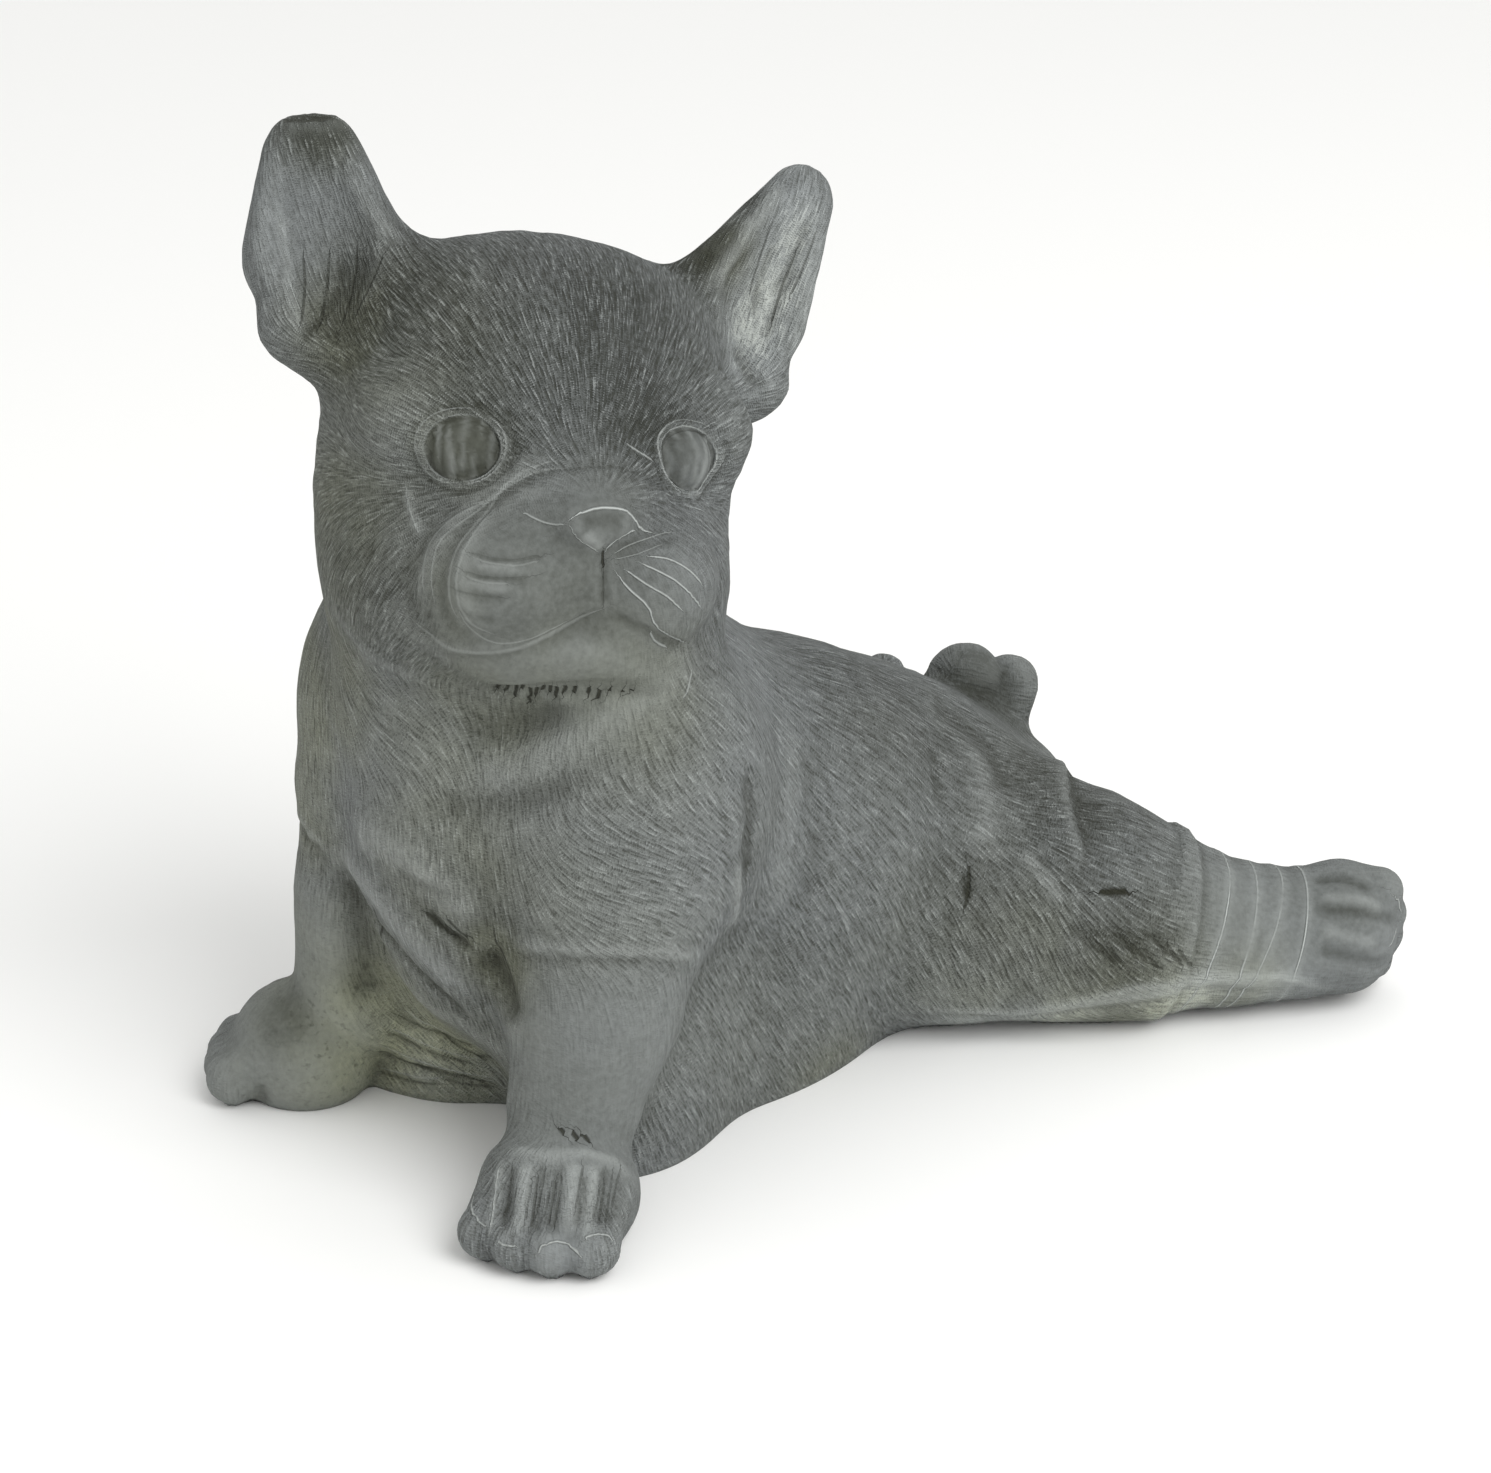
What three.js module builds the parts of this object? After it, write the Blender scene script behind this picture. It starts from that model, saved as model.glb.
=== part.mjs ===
import * as THREE from "three";

// French bulldog puppy in cast stone, lying with its chest raised on straight forelegs and its hind
// legs stretched out behind. It is one solid casting, cut flat where it stands.
// Millimetres, +Z up. The chest faces -Y and the puppy's left side is +X. The head looks to its left.

const height = 320;

// Pose, proportions and carving are shares of that height: every place and size from here on is in
// 320ths of it. "at" is a centre and "radii" are half sizes along X, Y and Z. "blend" is the breadth
// of the fillet with which a form runs into what carries it, and "ease" that at its own joints.
// A form whose place is off the middle is made for the left side, and mirrored for the right.
const divisions = 320;

const chestMiddle = -6;
const neck = { top: [-12, -100, 172], topRadius: 50, base: [-9, -82, 118], baseRadius: 65 };
const spine = {
  withers: [-4, -62, 96],
  withersRadius: 58,
  back: [0, -4, 72],
  backRadius: 56,
  loin: [0, 48, 55],
  loinRadius: 46,
  rump: [0, 92, 42],
  rumpRadius: 39,
  ease: 30,
  blend: 30,
};
const belly = { at: [-2, -22, 24], radii: [50, 80, 56], blend: 20 };
const apron = { at: [34, -86, 30], radii: [27, 36, 52], blend: 20 };
const breast = { at: [chestMiddle, -106, 86], radii: [46, 34, 56], blend: 20 };
const shoulder = { at: [50, -94, 127], radii: [34, 42, 54], blend: 16 };

const foreleg = {
  elbow: [50, -106, 98],
  elbowRadius: 31,
  shin: [51, -114, 64],
  shinRadius: 24,
  ankle: [52, -124, 34],
  ankleRadius: 20,
  ease: 10,
  blend: 10,
};
// A skirt of belly skin meets the ground behind the right foreleg.
const skirt = { at: [-52, -105, 2], radii: [16, 15, 16], blend: 8 };
// A paw is placed by its heel, and faces -Y before it is turned to its heading and rolled over.
const forepaw = {
  heel: [57, -130, 14],
  heading: 29,
  roll: 0,
  length: 33,
  width: 50,
  toeRadius: 8.5,
  toeRise: -5,
  knuckleRise: 5,
  pad: [24, 24, 22],
  blend: 6,
};
// The right forepaw is narrower, and turned further out.
const rightForepaw = { ...forepaw, heel: [57, -128, 14], heading: 44, length: 34.5, width: 42 };

const thigh = {
  hip: [42, 58, 41],
  hipRadius: 42,
  middle: [62, 80, 38],
  middleRadius: 37,
  knee: [78, 98, 31],
  kneeRadius: 30,
  ease: 10,
  blend: 24,
};
const shank = {
  calf: [74, 94, 32],
  calfRadius: 31,
  hock: [97, 120, 25],
  hockRadius: 22,
  ankle: [112, 139, 24],
  ankleRadius: 22,
  ease: 10,
  blend: 10,
};
const hindpaw = {
  heel: [117, 147, 25],
  heading: 146,
  roll: 78,
  length: 20,
  width: 44,
  toeRadius: 8,
  toeRise: 0,
  knuckleRise: 4,
  pad: [23, 18, 22],
  blend: 6,
};
// The right hind leg lies straighter behind, turned in about its hip by so many degrees.
const rightLegTurn = 9;
// The toes lie side by side, the outer ones set back by this share of their distance squared.
const toeCount = 4;
const toe = { setBack: 0.013, knuckleSpread: 0.85, knuckleAhead: 0.4, padAhead: 0.3, blend: 3 };

const buttock = { at: [12, 105, 54], radii: [24, 18, 19], blend: 3 };
// The tail is a short curl with two lobes on one root.
const tail = {
  upperLobe: [-3, 98, 92],
  upperLobeRadius: 13,
  root: [0, 98, 64],
  rootRadius: 15,
  endLobe: [3, 114, 88],
  endLobeRadius: 10,
  ease: 3,
  blend: 6,
};

const head = { at: [-3, -95, 214], turn: 68, lift: 17, tilt: 10, blend: 12 };
// Everything on the head is placed from the head's own middle, facing -Y before it is turned.
const skull = { at: [0, 2, 15], radii: [58, 54, 58] };
const crown = { at: [21, 6, 32], radii: [37, 40, 35], blend: 10 };
const cheek = { at: [25, 4, -15], radii: [35, 31, 41], blend: 20 };
const jowl = { at: [28, -16, -24], radii: [27, 25, 31], blend: 14 };
const jaw = { at: [0, -7, -34], radii: [54, 46, 23], blend: 16 };
const bridge = { at: [0, -40, -6], radii: [30, 26, 20], blend: 12 };
const muzzle = { at: [0, -39, -22], radii: [28, 25, 19], blend: 10 };
const lip = { at: [21, -38, -26], radii: [25, 29, 22], blend: 6 };
const chin = { at: [0, -35, -46], radii: [36, 23, 14], blend: 4 };
const nose = { at: [0, -61, -10], radii: [12.5, 9, 8], blend: 2 };
const fold = {
  start: [12, -46, 10],
  startRadius: 5,
  upper: [31, -41, -2],
  upperRadius: 6,
  lower: [45, -32, -18],
  lowerRadius: 6,
  end: [46, -28, -36],
  endRadius: 5,
  ease: 2,
  blend: 6,
};
const brow = { at: [44, -24, 16], radii: [16, 18, 17], blend: 10 };
const eye = { at: [31.5, -40, 8.5], radius: 10.4, turn: 24, lift: 4 };
const socket = { out: 13, radii: [15.5, 8, 14.5], blend: 3 };

// An ear is a flat leaf that stands on its root, leans out and faces a little aside.
const leftEar = { at: [67, 7, 54], root: 24, tip: 12, length: 38, lean: 31, lobe: [67, 9, 33] };
const rightEar = { at: [62, 7, 62], root: 24, tip: 15, length: 27, lean: 11, lobe: [63, 9, 42] };
const ear = { face: 16, flatness: 0.58, sweep: 6, blend: 14 };
const hollow = { at: [0, -15, 14], radii: [19, 13, 36], blend: 4 };
const lobe = { radii: [18, 10, 14], blend: 4 };

const latticeStep = 9.7;

// Distances from a point to a form, less than zero inside it.

const toRadians = Math.PI / 180;
const clamp = (value, low, high) => Math.min(high, Math.max(low, value));
const smallest = 1e-9;

function ellipsoid([x, y, z], { at, radii }) {
  const px = x - at[0];
  const py = y - at[1];
  const pz = z - at[2];
  const far = Math.hypot(px / radii[0], py / radii[1], pz / radii[2]);
  const slope = Math.hypot(px / radii[0] ** 2, py / radii[1] ** 2, pz / radii[2] ** 2);
  return slope < smallest ? -Math.min(...radii) : (far * (far - 1)) / slope;
}

// A cone with round ends, from a ball of one radius to a ball of another.
function roundCone([x, y, z], a, b, radiusA, radiusB) {
  const axis = [b[0] - a[0], b[1] - a[1], b[2] - a[2]];
  const from = [x - a[0], y - a[1], z - a[2]];
  const length2 = axis[0] ** 2 + axis[1] ** 2 + axis[2] ** 2;
  const drop = radiusA - radiusB;
  const slant2 = length2 - drop * drop;
  const along = from[0] * axis[0] + from[1] * axis[1] + from[2] * axis[2];
  const beyond = along - length2;
  const across = [0, 1, 2].map((i) => from[i] * length2 - axis[i] * along);
  const across2 = across[0] ** 2 + across[1] ** 2 + across[2] ** 2;
  const along2 = along * along * length2;
  const beyond2 = beyond * beyond * length2;
  const limit = Math.sign(drop) * drop * drop * across2;
  if (Math.sign(beyond) * slant2 * beyond2 > limit)
    return Math.sqrt(across2 + beyond2) / length2 - radiusB;
  if (Math.sign(along) * slant2 * along2 < limit)
    return Math.sqrt(across2 + along2) / length2 - radiusA;
  return (Math.sqrt((across2 * slant2) / length2) + along * drop) / length2 - radiusA;
}

// Two forms joined with a fillet about as wide as blend.
function join(a, b, blend) {
  const near = Math.max(blend - Math.abs(a - b), 0);
  return Math.min(a, b) - (near * near) / (4 * blend);
}

// What is left of form a once form b is cut out of it, with a rounded rim.
const carve = (a, b, blend) => -join(-a, b, blend);

// A limb runs from ball to ball, each with its own place and radius among the limb's values.
function limbForm(values, ...names) {
  const balls = names.map((name) => ({ at: values[name], radius: values[`${name}Radius`] }));
  return (p) => {
    let d = Infinity;
    for (let i = 1; i < balls.length; i++) {
      const [a, b] = [balls[i - 1], balls[i]];
      d = join(d, roundCone(p, a.at, b.at, a.radius, b.radius), values.ease);
    }
    return d;
  };
}
const spineForm = limbForm(spine, "withers", "back", "loin", "rump");
const forelegForm = limbForm(foreleg, "elbow", "shin", "ankle");
const thighForm = limbForm(thigh, "hip", "middle", "knee");
const shankForm = limbForm(shank, "calf", "hock", "ankle");
const tailForm = limbForm(tail, "upperLobe", "root", "endLobe");
const foldForm = limbForm(fold, "start", "upper", "lower", "end");

const probe = new THREE.Vector3();
const transformed = (p, matrix) => probe.set(...p).applyMatrix4(matrix).toArray();

// The matrix from the space round a form to the form's own space, where it faces -Y.
function facing(at, turn, lift, tilt) {
  return new THREE.Matrix4().makeTranslation(...at)
    .multiply(new THREE.Matrix4().makeRotationZ(turn * toRadians))
    .multiply(new THREE.Matrix4().makeRotationX(-lift * toRadians))
    .multiply(new THREE.Matrix4().makeRotationY(tilt * toRadians))
    .invert();
}

function pawForm(paw) {
  const intoPaw = facing(paw.heel, paw.heading, 0, paw.roll);
  const pad = { at: [0, -paw.length * toe.padAhead, 0], radii: paw.pad };
  const spacing = (paw.width - 2 * paw.toeRadius) / (toeCount - 1);
  return (world) => {
    const p = transformed(world, intoPaw);
    let d = ellipsoid(p, pad);
    for (let i = 0; i < toeCount; i++) {
      const aside = (i - (toeCount - 1) / 2) * spacing;
      const ahead = paw.length - toe.setBack * aside * aside;
      const knuckle = [aside * toe.knuckleSpread, -ahead * toe.knuckleAhead, paw.knuckleRise];
      const tip = [aside, -ahead, paw.toeRise];
      d = join(d, roundCone(p, knuckle, tip, paw.toeRadius, paw.toeRadius), toe.blend);
    }
    return d;
  };
}
const forepawForm = pawForm(forepaw);
const rightForepawForm = pawForm(rightForepaw);
const hindpawForm = pawForm(hindpaw);

// The right hind leg is the left one mirrored, and turned in about its hip.
const hip = [thigh.hip[0], thigh.hip[1], 0];
const intoRightLeg = new THREE.Matrix4().makeTranslation(...hip)
  .multiply(facing(hip, rightLegTurn, 0, 0));
const outOfRightLeg = intoRightLeg.clone().invert();

// Distances in the flattened space of an ear are evened out by this share.
const earEvenness = (1 + ear.flatness) / 2;

function earForm(oneEar, side) {
  const intoEar = facing(oneEar.at, 0, 0, oneEar.lean);
  intoEar.premultiply(new THREE.Matrix4().makeRotationZ(-ear.face * toRadians));
  const top = [0, ear.sweep, oneEar.length];
  return ([x, y, z]) => {
    const onSide = [x * side, y, z];
    const q = transformed(onSide, intoEar);
    const flat = [q[0], q[1] / ear.flatness, q[2]];
    const leaf = roundCone(flat, [0, 0, 0], top, oneEar.root, oneEar.tip) * earEvenness;
    const lobed = join(leaf, ellipsoid(onSide, { at: oneEar.lobe, radii: lobe.radii }), lobe.blend);
    return carve(lobed, ellipsoid(q, hollow), hollow.blend);
  };
}
const leftEarForm = earForm(leftEar, 1);
const rightEarForm = earForm(rightEar, -1);

const intoHead = facing(head.at, head.turn, head.lift, head.tilt);
const intoEye = facing(eye.at, eye.turn, eye.lift, 0);

function headForm(world) {
  const p = transformed(world, intoHead);
  const half = [Math.abs(p[0]), p[1], p[2]];
  let d = ellipsoid(p, skull);
  for (const form of [crown, brow, cheek, jowl]) d = join(d, ellipsoid(half, form), form.blend);
  for (const form of [jaw, bridge, muzzle, chin]) d = join(d, ellipsoid(p, form), form.blend);
  d = join(d, ellipsoid(half, lip), lip.blend);
  d = join(d, foldForm(half), fold.blend);
  d = join(d, Math.min(leftEarForm(p), rightEarForm(p)), ear.blend);
  const q = transformed(half, intoEye);
  d = carve(d, ellipsoid(q, { at: [0, -socket.out, 0], radii: socket.radii }), socket.blend);
  d = Math.min(d, Math.hypot(...q) - eye.radius);
  return join(d, ellipsoid(p, nose), nose.blend);
}

function figure(p) {
  let d = roundCone(p, neck.top, neck.base, neck.topRadius, neck.baseRadius);
  d = join(d, spineForm(p), spine.blend);
  d = join(d, ellipsoid(p, belly), belly.blend);
  d = join(d, ellipsoid(p, breast), breast.blend);
  for (const side of [1, -1]) {
    const fore = [(p[0] - chestMiddle) * side, p[1], p[2]];
    for (const form of [apron, shoulder]) d = join(d, ellipsoid(fore, form), form.blend);
    const paw = side > 0 ? forepawForm(fore) : rightForepawForm(fore);
    d = join(d, join(forelegForm(fore), paw, forepaw.blend), foreleg.blend);
    const hind = side > 0 ? p : transformed([-p[0], p[1], p[2]], intoRightLeg);
    d = join(d, thighForm(hind), thigh.blend);
    d = join(d, ellipsoid([p[0] * side, p[1], p[2]], buttock), buttock.blend);
    d = join(d, join(shankForm(hind), hindpawForm(hind), hindpaw.blend), shank.blend);
  }
  d = join(d, ellipsoid(p, skirt), skirt.blend);
  d = join(d, tailForm(p), tail.blend);
  return join(d, headForm(p), head.blend);
}

// The box that holds the figure, found by probing round the origin in steps.
function findExtent() {
  const span = 1.25 * divisions;
  const step = divisions / 16;
  const box = new THREE.Box3();
  for (let x = -span; x <= span; x += step)
    for (let y = -span; y <= span; y += step)
      for (let z = 0; z <= span; z += step)
        if (figure([x, y, z]) < step) box.expandByPoint(new THREE.Vector3(x, y, z));
  return box.expandByScalar(step);
}

// The lattice is drawn together round the head and the paws, where the carving is finest.
const outOfHead = intoHead.clone().invert();
const headLens = { reach: 250, pull: 0.48 };
const muzzleLens = { reach: 80, pull: 0.34 };
const pawLens = { reach: 58, pull: 0.42 };
const earLens = { reach: 55, pull: 0.3 };
const aheadOfPaw = ({ heel, heading }, length) => [
  heel[0] + length * Math.sin(heading * toRadians),
  heel[1] - length * Math.cos(heading * toRadians),
  heel[2],
];
const foretoes = aheadOfPaw(forepaw, forepaw.length / 2);
const hindtoes = aheadOfPaw(hindpaw, hindpaw.length / 2);
const rightHindtoes = transformed(hindtoes, outOfRightLeg);
const earMiddle = (oneEar, side) => {
  const [x, y, z] = oneEar.at;
  const half = oneEar.length / 2;
  const lean = oneEar.lean * toRadians;
  return transformed([side * (x + half * Math.sin(lean)), y, z + half * Math.cos(lean)], outOfHead);
};
const lenses = [
  { at: transformed(skull.at, outOfHead), ...headLens },
  { at: transformed(bridge.at, outOfHead), ...muzzleLens },
  { at: earMiddle(leftEar, 1), ...earLens },
  { at: earMiddle(rightEar, -1), ...earLens },
  { at: [chestMiddle + foretoes[0], foretoes[1], foretoes[2]], ...pawLens },
  { at: [chestMiddle - foretoes[0], foretoes[1], foretoes[2]], ...pawLens },
  { at: hindtoes, ...pawLens },
  { at: [-rightHindtoes[0], rightHindtoes[1], rightHindtoes[2]], ...pawLens },
];

function drawnTogether([x, y, z]) {
  let p = [x, y, z];
  for (const lens of lenses) {
    const away = [0, 1, 2].map((i) => p[i] - lens.at[i]);
    const distance = Math.hypot(...away) / lens.reach;
    if (distance >= 1) continue;
    const pull = lens.pull * (1 - distance * distance) ** 2 * clamp(z / lens.at[2], 0, 1);
    p = p.map((v, i) => v - pull * away[i]);
  }
  return p;
}

// Limits for setting a vertex on the surface, as shares of the lattice's step.
const fillDepth = 0.05;
const probeStep = 0.02;
const furthestMove = 0.3;
const floorGap = 0.05;
const movePasses = 3;
const gentlestSlope = 0.05;

const CORNERS = [0, 1, 2, 3, 4, 5, 6, 7].map((c) => [c & 1, (c >> 1) & 1, c >> 2]);

// Skins the figure with one vertex in each lattice cell that its surface passes through.
function skin() {
  const box = findExtent();
  const low = [box.min.x, box.min.y, -latticeStep / 2];
  const counts = [
    Math.ceil((box.max.x - low[0]) / latticeStep) + 1,
    Math.ceil((box.max.y - low[1]) / latticeStep) + 1,
    Math.ceil((box.max.z - low[2]) / latticeStep) + 1,
  ];
  const stride = [1, counts[0], counts[0] * counts[1]];
  const total = stride[2] * counts[2];
  const nodes = new Array(total);
  const field = new Float64Array(total);
  for (let k = 0; k < counts[2]; k++)
    for (let j = 0; j < counts[1]; j++)
      for (let i = 0; i < counts[0]; i++) {
        const n = i + j * stride[1] + k * stride[2];
        nodes[n] = drawnTogether([
          low[0] + i * latticeStep,
          low[1] + j * latticeStep,
          low[2] + k * latticeStep,
        ]);
        field[n] = k === 0 ? latticeStep : figure(nodes[n]);
      }
  const cornerOffsets = CORNERS.map((c) => c[0] + c[1] * stride[1] + c[2] * stride[2]);
  const cells = [];
  for (let k = 0; k < counts[2] - 1; k++)
    for (let j = 0; j < counts[1] - 1; j++)
      for (let i = 0; i < counts[0] - 1; i++) cells.push(i + j * stride[1] + k * stride[2]);

  // A cell whose surface would cross itself is filled, so that the skin stays a clean single sheet.
  const fill = (members) => {
    for (const n of members) if (field[n] >= 0) field[n] = -fillDepth * latticeStep;
  };
  for (let changed = true; changed; ) {
    changed = false;
    for (const cell of cells) {
      const members = cornerOffsets.map((o) => cell + o);
      const signs = members.map((n) => field[n] < 0);
      const count = signs.filter(Boolean).length;
      if (count === 0 || count === 8) continue;
      for (let axis = 0; axis < 3; axis++) {
        const [b, c] = [0, 1, 2].filter((v) => v !== axis).map((v) => 1 << v);
        for (const near of [0, 1 << axis]) {
          const ring = [near, near + b, near + b + c, near + c];
          const s = ring.map((r) => signs[r]);
          if (s[0] === s[2] && s[1] === s[3] && s[0] !== s[1]) {
            fill(ring.map((r) => members[r]));
            changed = true;
          }
        }
      }
      for (let c = 0; c < 4; c++) {
        const pairAlone = signs[c] === signs[7 - c] &&
          signs.every((s, m) => m === c || m === 7 - c || s !== signs[c]);
        if (pairAlone) {
          fill(members);
          changed = true;
        }
      }
    }
  }

  const gradient = (p) => {
    const h = probeStep * latticeStep;
    return [0, 1, 2].map((axis) => {
      const step = [0, 0, 0];
      step[axis] = h;
      return (figure(p.map((v, i) => v + step[i])) - figure(p.map((v, i) => v - step[i]))) / (2 * h);
    });
  };
  const positions = [];
  const vertexOf = new Map();
  for (const cell of cells) {
    const members = cornerOffsets.map((o) => cell + o);
    const crossings = [];
    for (let c = 0; c < 8; c++)
      for (let axis = 0; axis < 3; axis++) {
        const other = c | (1 << axis);
        if (other === c) continue;
        const [a, b] = [members[c], members[other]];
        if (field[a] < 0 === field[b] < 0) continue;
        const t = field[a] / (field[a] - field[b]);
        crossings.push(nodes[a].map((v, i) => v + t * (nodes[b][i] - v)));
      }
    if (!crossings.length) continue;
    const onFloor = cell < stride[2];
    let p = [0, 1, 2].map((i) => crossings.reduce((sum, c) => sum + c[i], 0) / crossings.length);
    const underBody = onFloor && members.slice(4).every((n) => field[n] < 0);
    if (onFloor) p[2] = 0;
    for (let pass = 0; pass < movePasses && !underBody; pass++) {
      const g = gradient(p);
      if (onFloor) g[2] = 0;
      const steep = g[0] ** 2 + g[1] ** 2 + g[2] ** 2;
      if (steep < gentlestSlope) break;
      const furthest = furthestMove * latticeStep;
      const move = clamp(figure(p) / steep, -furthest, furthest);
      p = p.map((v, i) => v - move * g[i]);
      if (!onFloor) p[2] = Math.max(p[2], floorGap * latticeStep);
    }
    vertexOf.set(cell, positions.length / 3);
    positions.push(...p);
  }

  const indices = [];
  const distance2 = (a, b) =>
    [0, 1, 2].reduce((sum, i) => sum + (positions[3 * a + i] - positions[3 * b + i]) ** 2, 0);
  for (let n = 0; n < total; n++)
    for (let axis = 0; axis < 3; axis++) {
      const m = n + stride[axis];
      if (m >= total || field[n] < 0 === field[m] < 0) continue;
      const [u, v] = [stride[(axis + 1) % 3], stride[(axis + 2) % 3]];
      const quad = [n - u - v, n - v, n, n - u].map((c) => vertexOf.get(c));
      if (quad.includes(undefined)) continue;
      if (field[n] >= 0) quad.reverse();
      const [a, b, c, d] = quad;
      if (distance2(a, c) < distance2(b, d)) indices.push(a, b, c, a, c, d);
      else indices.push(a, b, d, b, c, d);
    }
  const geometry = new THREE.BufferGeometry();
  geometry.setAttribute("position", new THREE.Float32BufferAttribute(positions, 3));
  geometry.setIndex(indices);
  const share = height / divisions;
  geometry.scale(share, share, share);
  return geometry;
}

const stone = new THREE.MeshStandardMaterial({ color: 0x8a8f8a, roughness: 0.9, metalness: 0 });
const geometry = skin();
geometry.computeBoundingBox();
const middle = geometry.boundingBox.getCenter(new THREE.Vector3());

const puppy = new THREE.Mesh(geometry, stone);
puppy.name = "puppy";
puppy.position.set(-middle.x, -middle.y, 0);
const group = new THREE.Group();
group.add(puppy);
export default group;
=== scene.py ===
import itertools
import math

import bpy
import numpy as np
from mathutils import Matrix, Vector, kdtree


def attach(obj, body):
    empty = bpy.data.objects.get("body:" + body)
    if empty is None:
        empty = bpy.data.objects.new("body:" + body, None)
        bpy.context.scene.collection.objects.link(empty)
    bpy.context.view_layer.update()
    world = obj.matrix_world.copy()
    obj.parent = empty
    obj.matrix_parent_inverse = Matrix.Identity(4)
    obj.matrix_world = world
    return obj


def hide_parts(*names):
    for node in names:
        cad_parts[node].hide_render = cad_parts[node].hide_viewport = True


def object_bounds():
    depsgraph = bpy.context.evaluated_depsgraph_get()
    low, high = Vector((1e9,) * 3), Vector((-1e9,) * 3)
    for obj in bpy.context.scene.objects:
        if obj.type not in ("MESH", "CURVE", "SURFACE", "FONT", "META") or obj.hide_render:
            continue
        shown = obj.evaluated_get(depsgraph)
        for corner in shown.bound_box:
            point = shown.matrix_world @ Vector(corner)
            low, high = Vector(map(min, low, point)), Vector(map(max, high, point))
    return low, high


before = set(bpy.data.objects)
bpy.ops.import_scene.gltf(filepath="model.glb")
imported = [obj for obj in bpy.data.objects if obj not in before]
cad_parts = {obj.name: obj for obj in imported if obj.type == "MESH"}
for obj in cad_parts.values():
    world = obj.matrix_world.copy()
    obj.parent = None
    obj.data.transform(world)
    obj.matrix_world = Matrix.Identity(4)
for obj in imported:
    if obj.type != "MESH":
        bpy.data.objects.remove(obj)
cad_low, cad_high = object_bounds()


# The camera stands off the puppy's left front and a little above it, where the photograph was
# taken. Lengths are those of the solid's own source, where the puppy is this high. One of them is
# unit metres, and stand moves the puppy to the middle of the frame.
source_height = 319.69
unit = (cad_high.z - cad_low.z) / source_height
stand = np.array([-7.52, -5.75, 0.0])
photo_width, photo_height = 1491, 1473
sensor_width = 36
view_turn = math.radians(46)
view_rise = math.radians(24)
view_distance = 1300
view_target = np.array([-8.0, 0.0, 100.0])
pixels_per_unit = 3.1
focal = pixels_per_unit * view_distance

view_back = np.array([
    math.sin(view_turn) * math.cos(view_rise),
    -math.cos(view_turn) * math.cos(view_rise),
    math.sin(view_rise),
])
view_right = np.array([math.cos(view_turn), math.sin(view_turn), 0.0])
view_up = np.cross(view_back, view_right)
view_place = view_target + view_distance * view_back

camera_data = bpy.data.cameras.new("camera")
camera_data.sensor_width = sensor_width
camera_data.lens = focal * sensor_width / photo_width
camera = bpy.data.objects.new("camera", camera_data)
bpy.context.scene.collection.objects.link(camera)
camera_axes = Matrix(np.column_stack([view_right, view_up, view_back]).tolist())
camera.matrix_world = Matrix.Translation((view_place + stand) * unit) @ camera_axes.to_4x4()
bpy.context.scene.camera = camera


def seen(points):
    """Where points appear in the photograph, in its pixels, and how far away they are."""
    away = points - view_place[:, None]
    depth = -(view_back @ away)
    across = photo_width / 2 + focal * (view_right @ away) / depth
    down = photo_height / 2 - focal * (view_up @ away) / depth
    return across, down, depth


# The trunk: one solid casting, so every form runs into the next with a fillet. It is built from
# distances to rounded forms, less than zero inside them, joined with a fillet about as wide as
# "blend". The puppy's left is +X and its chest faces -Y.
chest_middle = -6
neck = dict(top=(-12, -100, 172), top_radius=50, base=(-9, -82, 118), base_radius=65)
spine = [((-4, -62, 96), 58), ((0, -4, 72), 56), ((0, 48, 55), 46), ((0, 92, 42), 39)]
belly = dict(at=(-2, -22, 24), radii=(50, 80, 56))
apron = dict(at=(34, -86, 30), radii=(27, 36, 52))
breast = dict(at=(chest_middle, -106, 86), radii=(46, 34, 56))
shoulder = dict(at=(50, -94, 127), radii=(34, 42, 54))
buttock = dict(at=(12, 105, 54), radii=(24, 18, 19))
tail = [((-3, 98, 92), 13), ((0, 98, 64), 15), ((3, 114, 88), 10)]
skirt = dict(at=(-52, -105, 2), radii=(16, 15, 16))


def length(v):
    return np.sqrt(v[0] * v[0] + v[1] * v[1] + v[2] * v[2])


def column(a):
    return np.array(a, float)[:, None]


def ellipsoid(p, at, radii):
    q = (p - column(at)) / column(radii)
    far = length(q)
    return far * (far - 1) / np.maximum(length(q / column(radii)), 1e-9)


def round_cone(p, a, b, radius_a, radius_b):
    """The distance to a cone with a ball at each end."""
    axis = column(b) - column(a)
    start = p - column(a)
    length2 = float((axis * axis).sum())
    drop = radius_a - radius_b
    slant2 = length2 - drop * drop
    along = (start * axis).sum(0)
    beyond = along - length2
    across = start * length2 - axis * along
    across2 = (across * across).sum(0)
    along2 = along * along * length2
    beyond2 = beyond * beyond * length2
    limit = np.sign(drop) * drop * drop * across2
    side = (np.sqrt(across2 * slant2 / length2) + along * drop) / length2 - radius_a
    near_b = np.sqrt(across2 + beyond2) / length2 - radius_b
    near_a = np.sqrt(across2 + along2) / length2 - radius_a
    side = np.where(np.sign(along) * slant2 * along2 < limit, near_a, side)
    return np.where(np.sign(beyond) * slant2 * beyond2 > limit, near_b, side)


def join(a, b, blend):
    """Two forms run together with a fillet."""
    near = np.maximum(blend - np.abs(a - b), 0)
    return np.minimum(a, b) - near * near / (4 * blend)


def carve(a, b, blend):
    return -join(-a, b, blend)


def limb(p, balls, ease):
    """Round cones from ball to ball, each ball given by its place and radius."""
    d = None
    for (a, radius_a), (b, radius_b) in zip(balls, balls[1:]):
        cone = round_cone(p, a, b, radius_a, radius_b)
        d = cone if d is None else join(d, cone, ease)
    return d


def mirrored(p, middle, side):
    return np.stack([(p[0] - middle) * side, p[1], p[2]])


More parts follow.
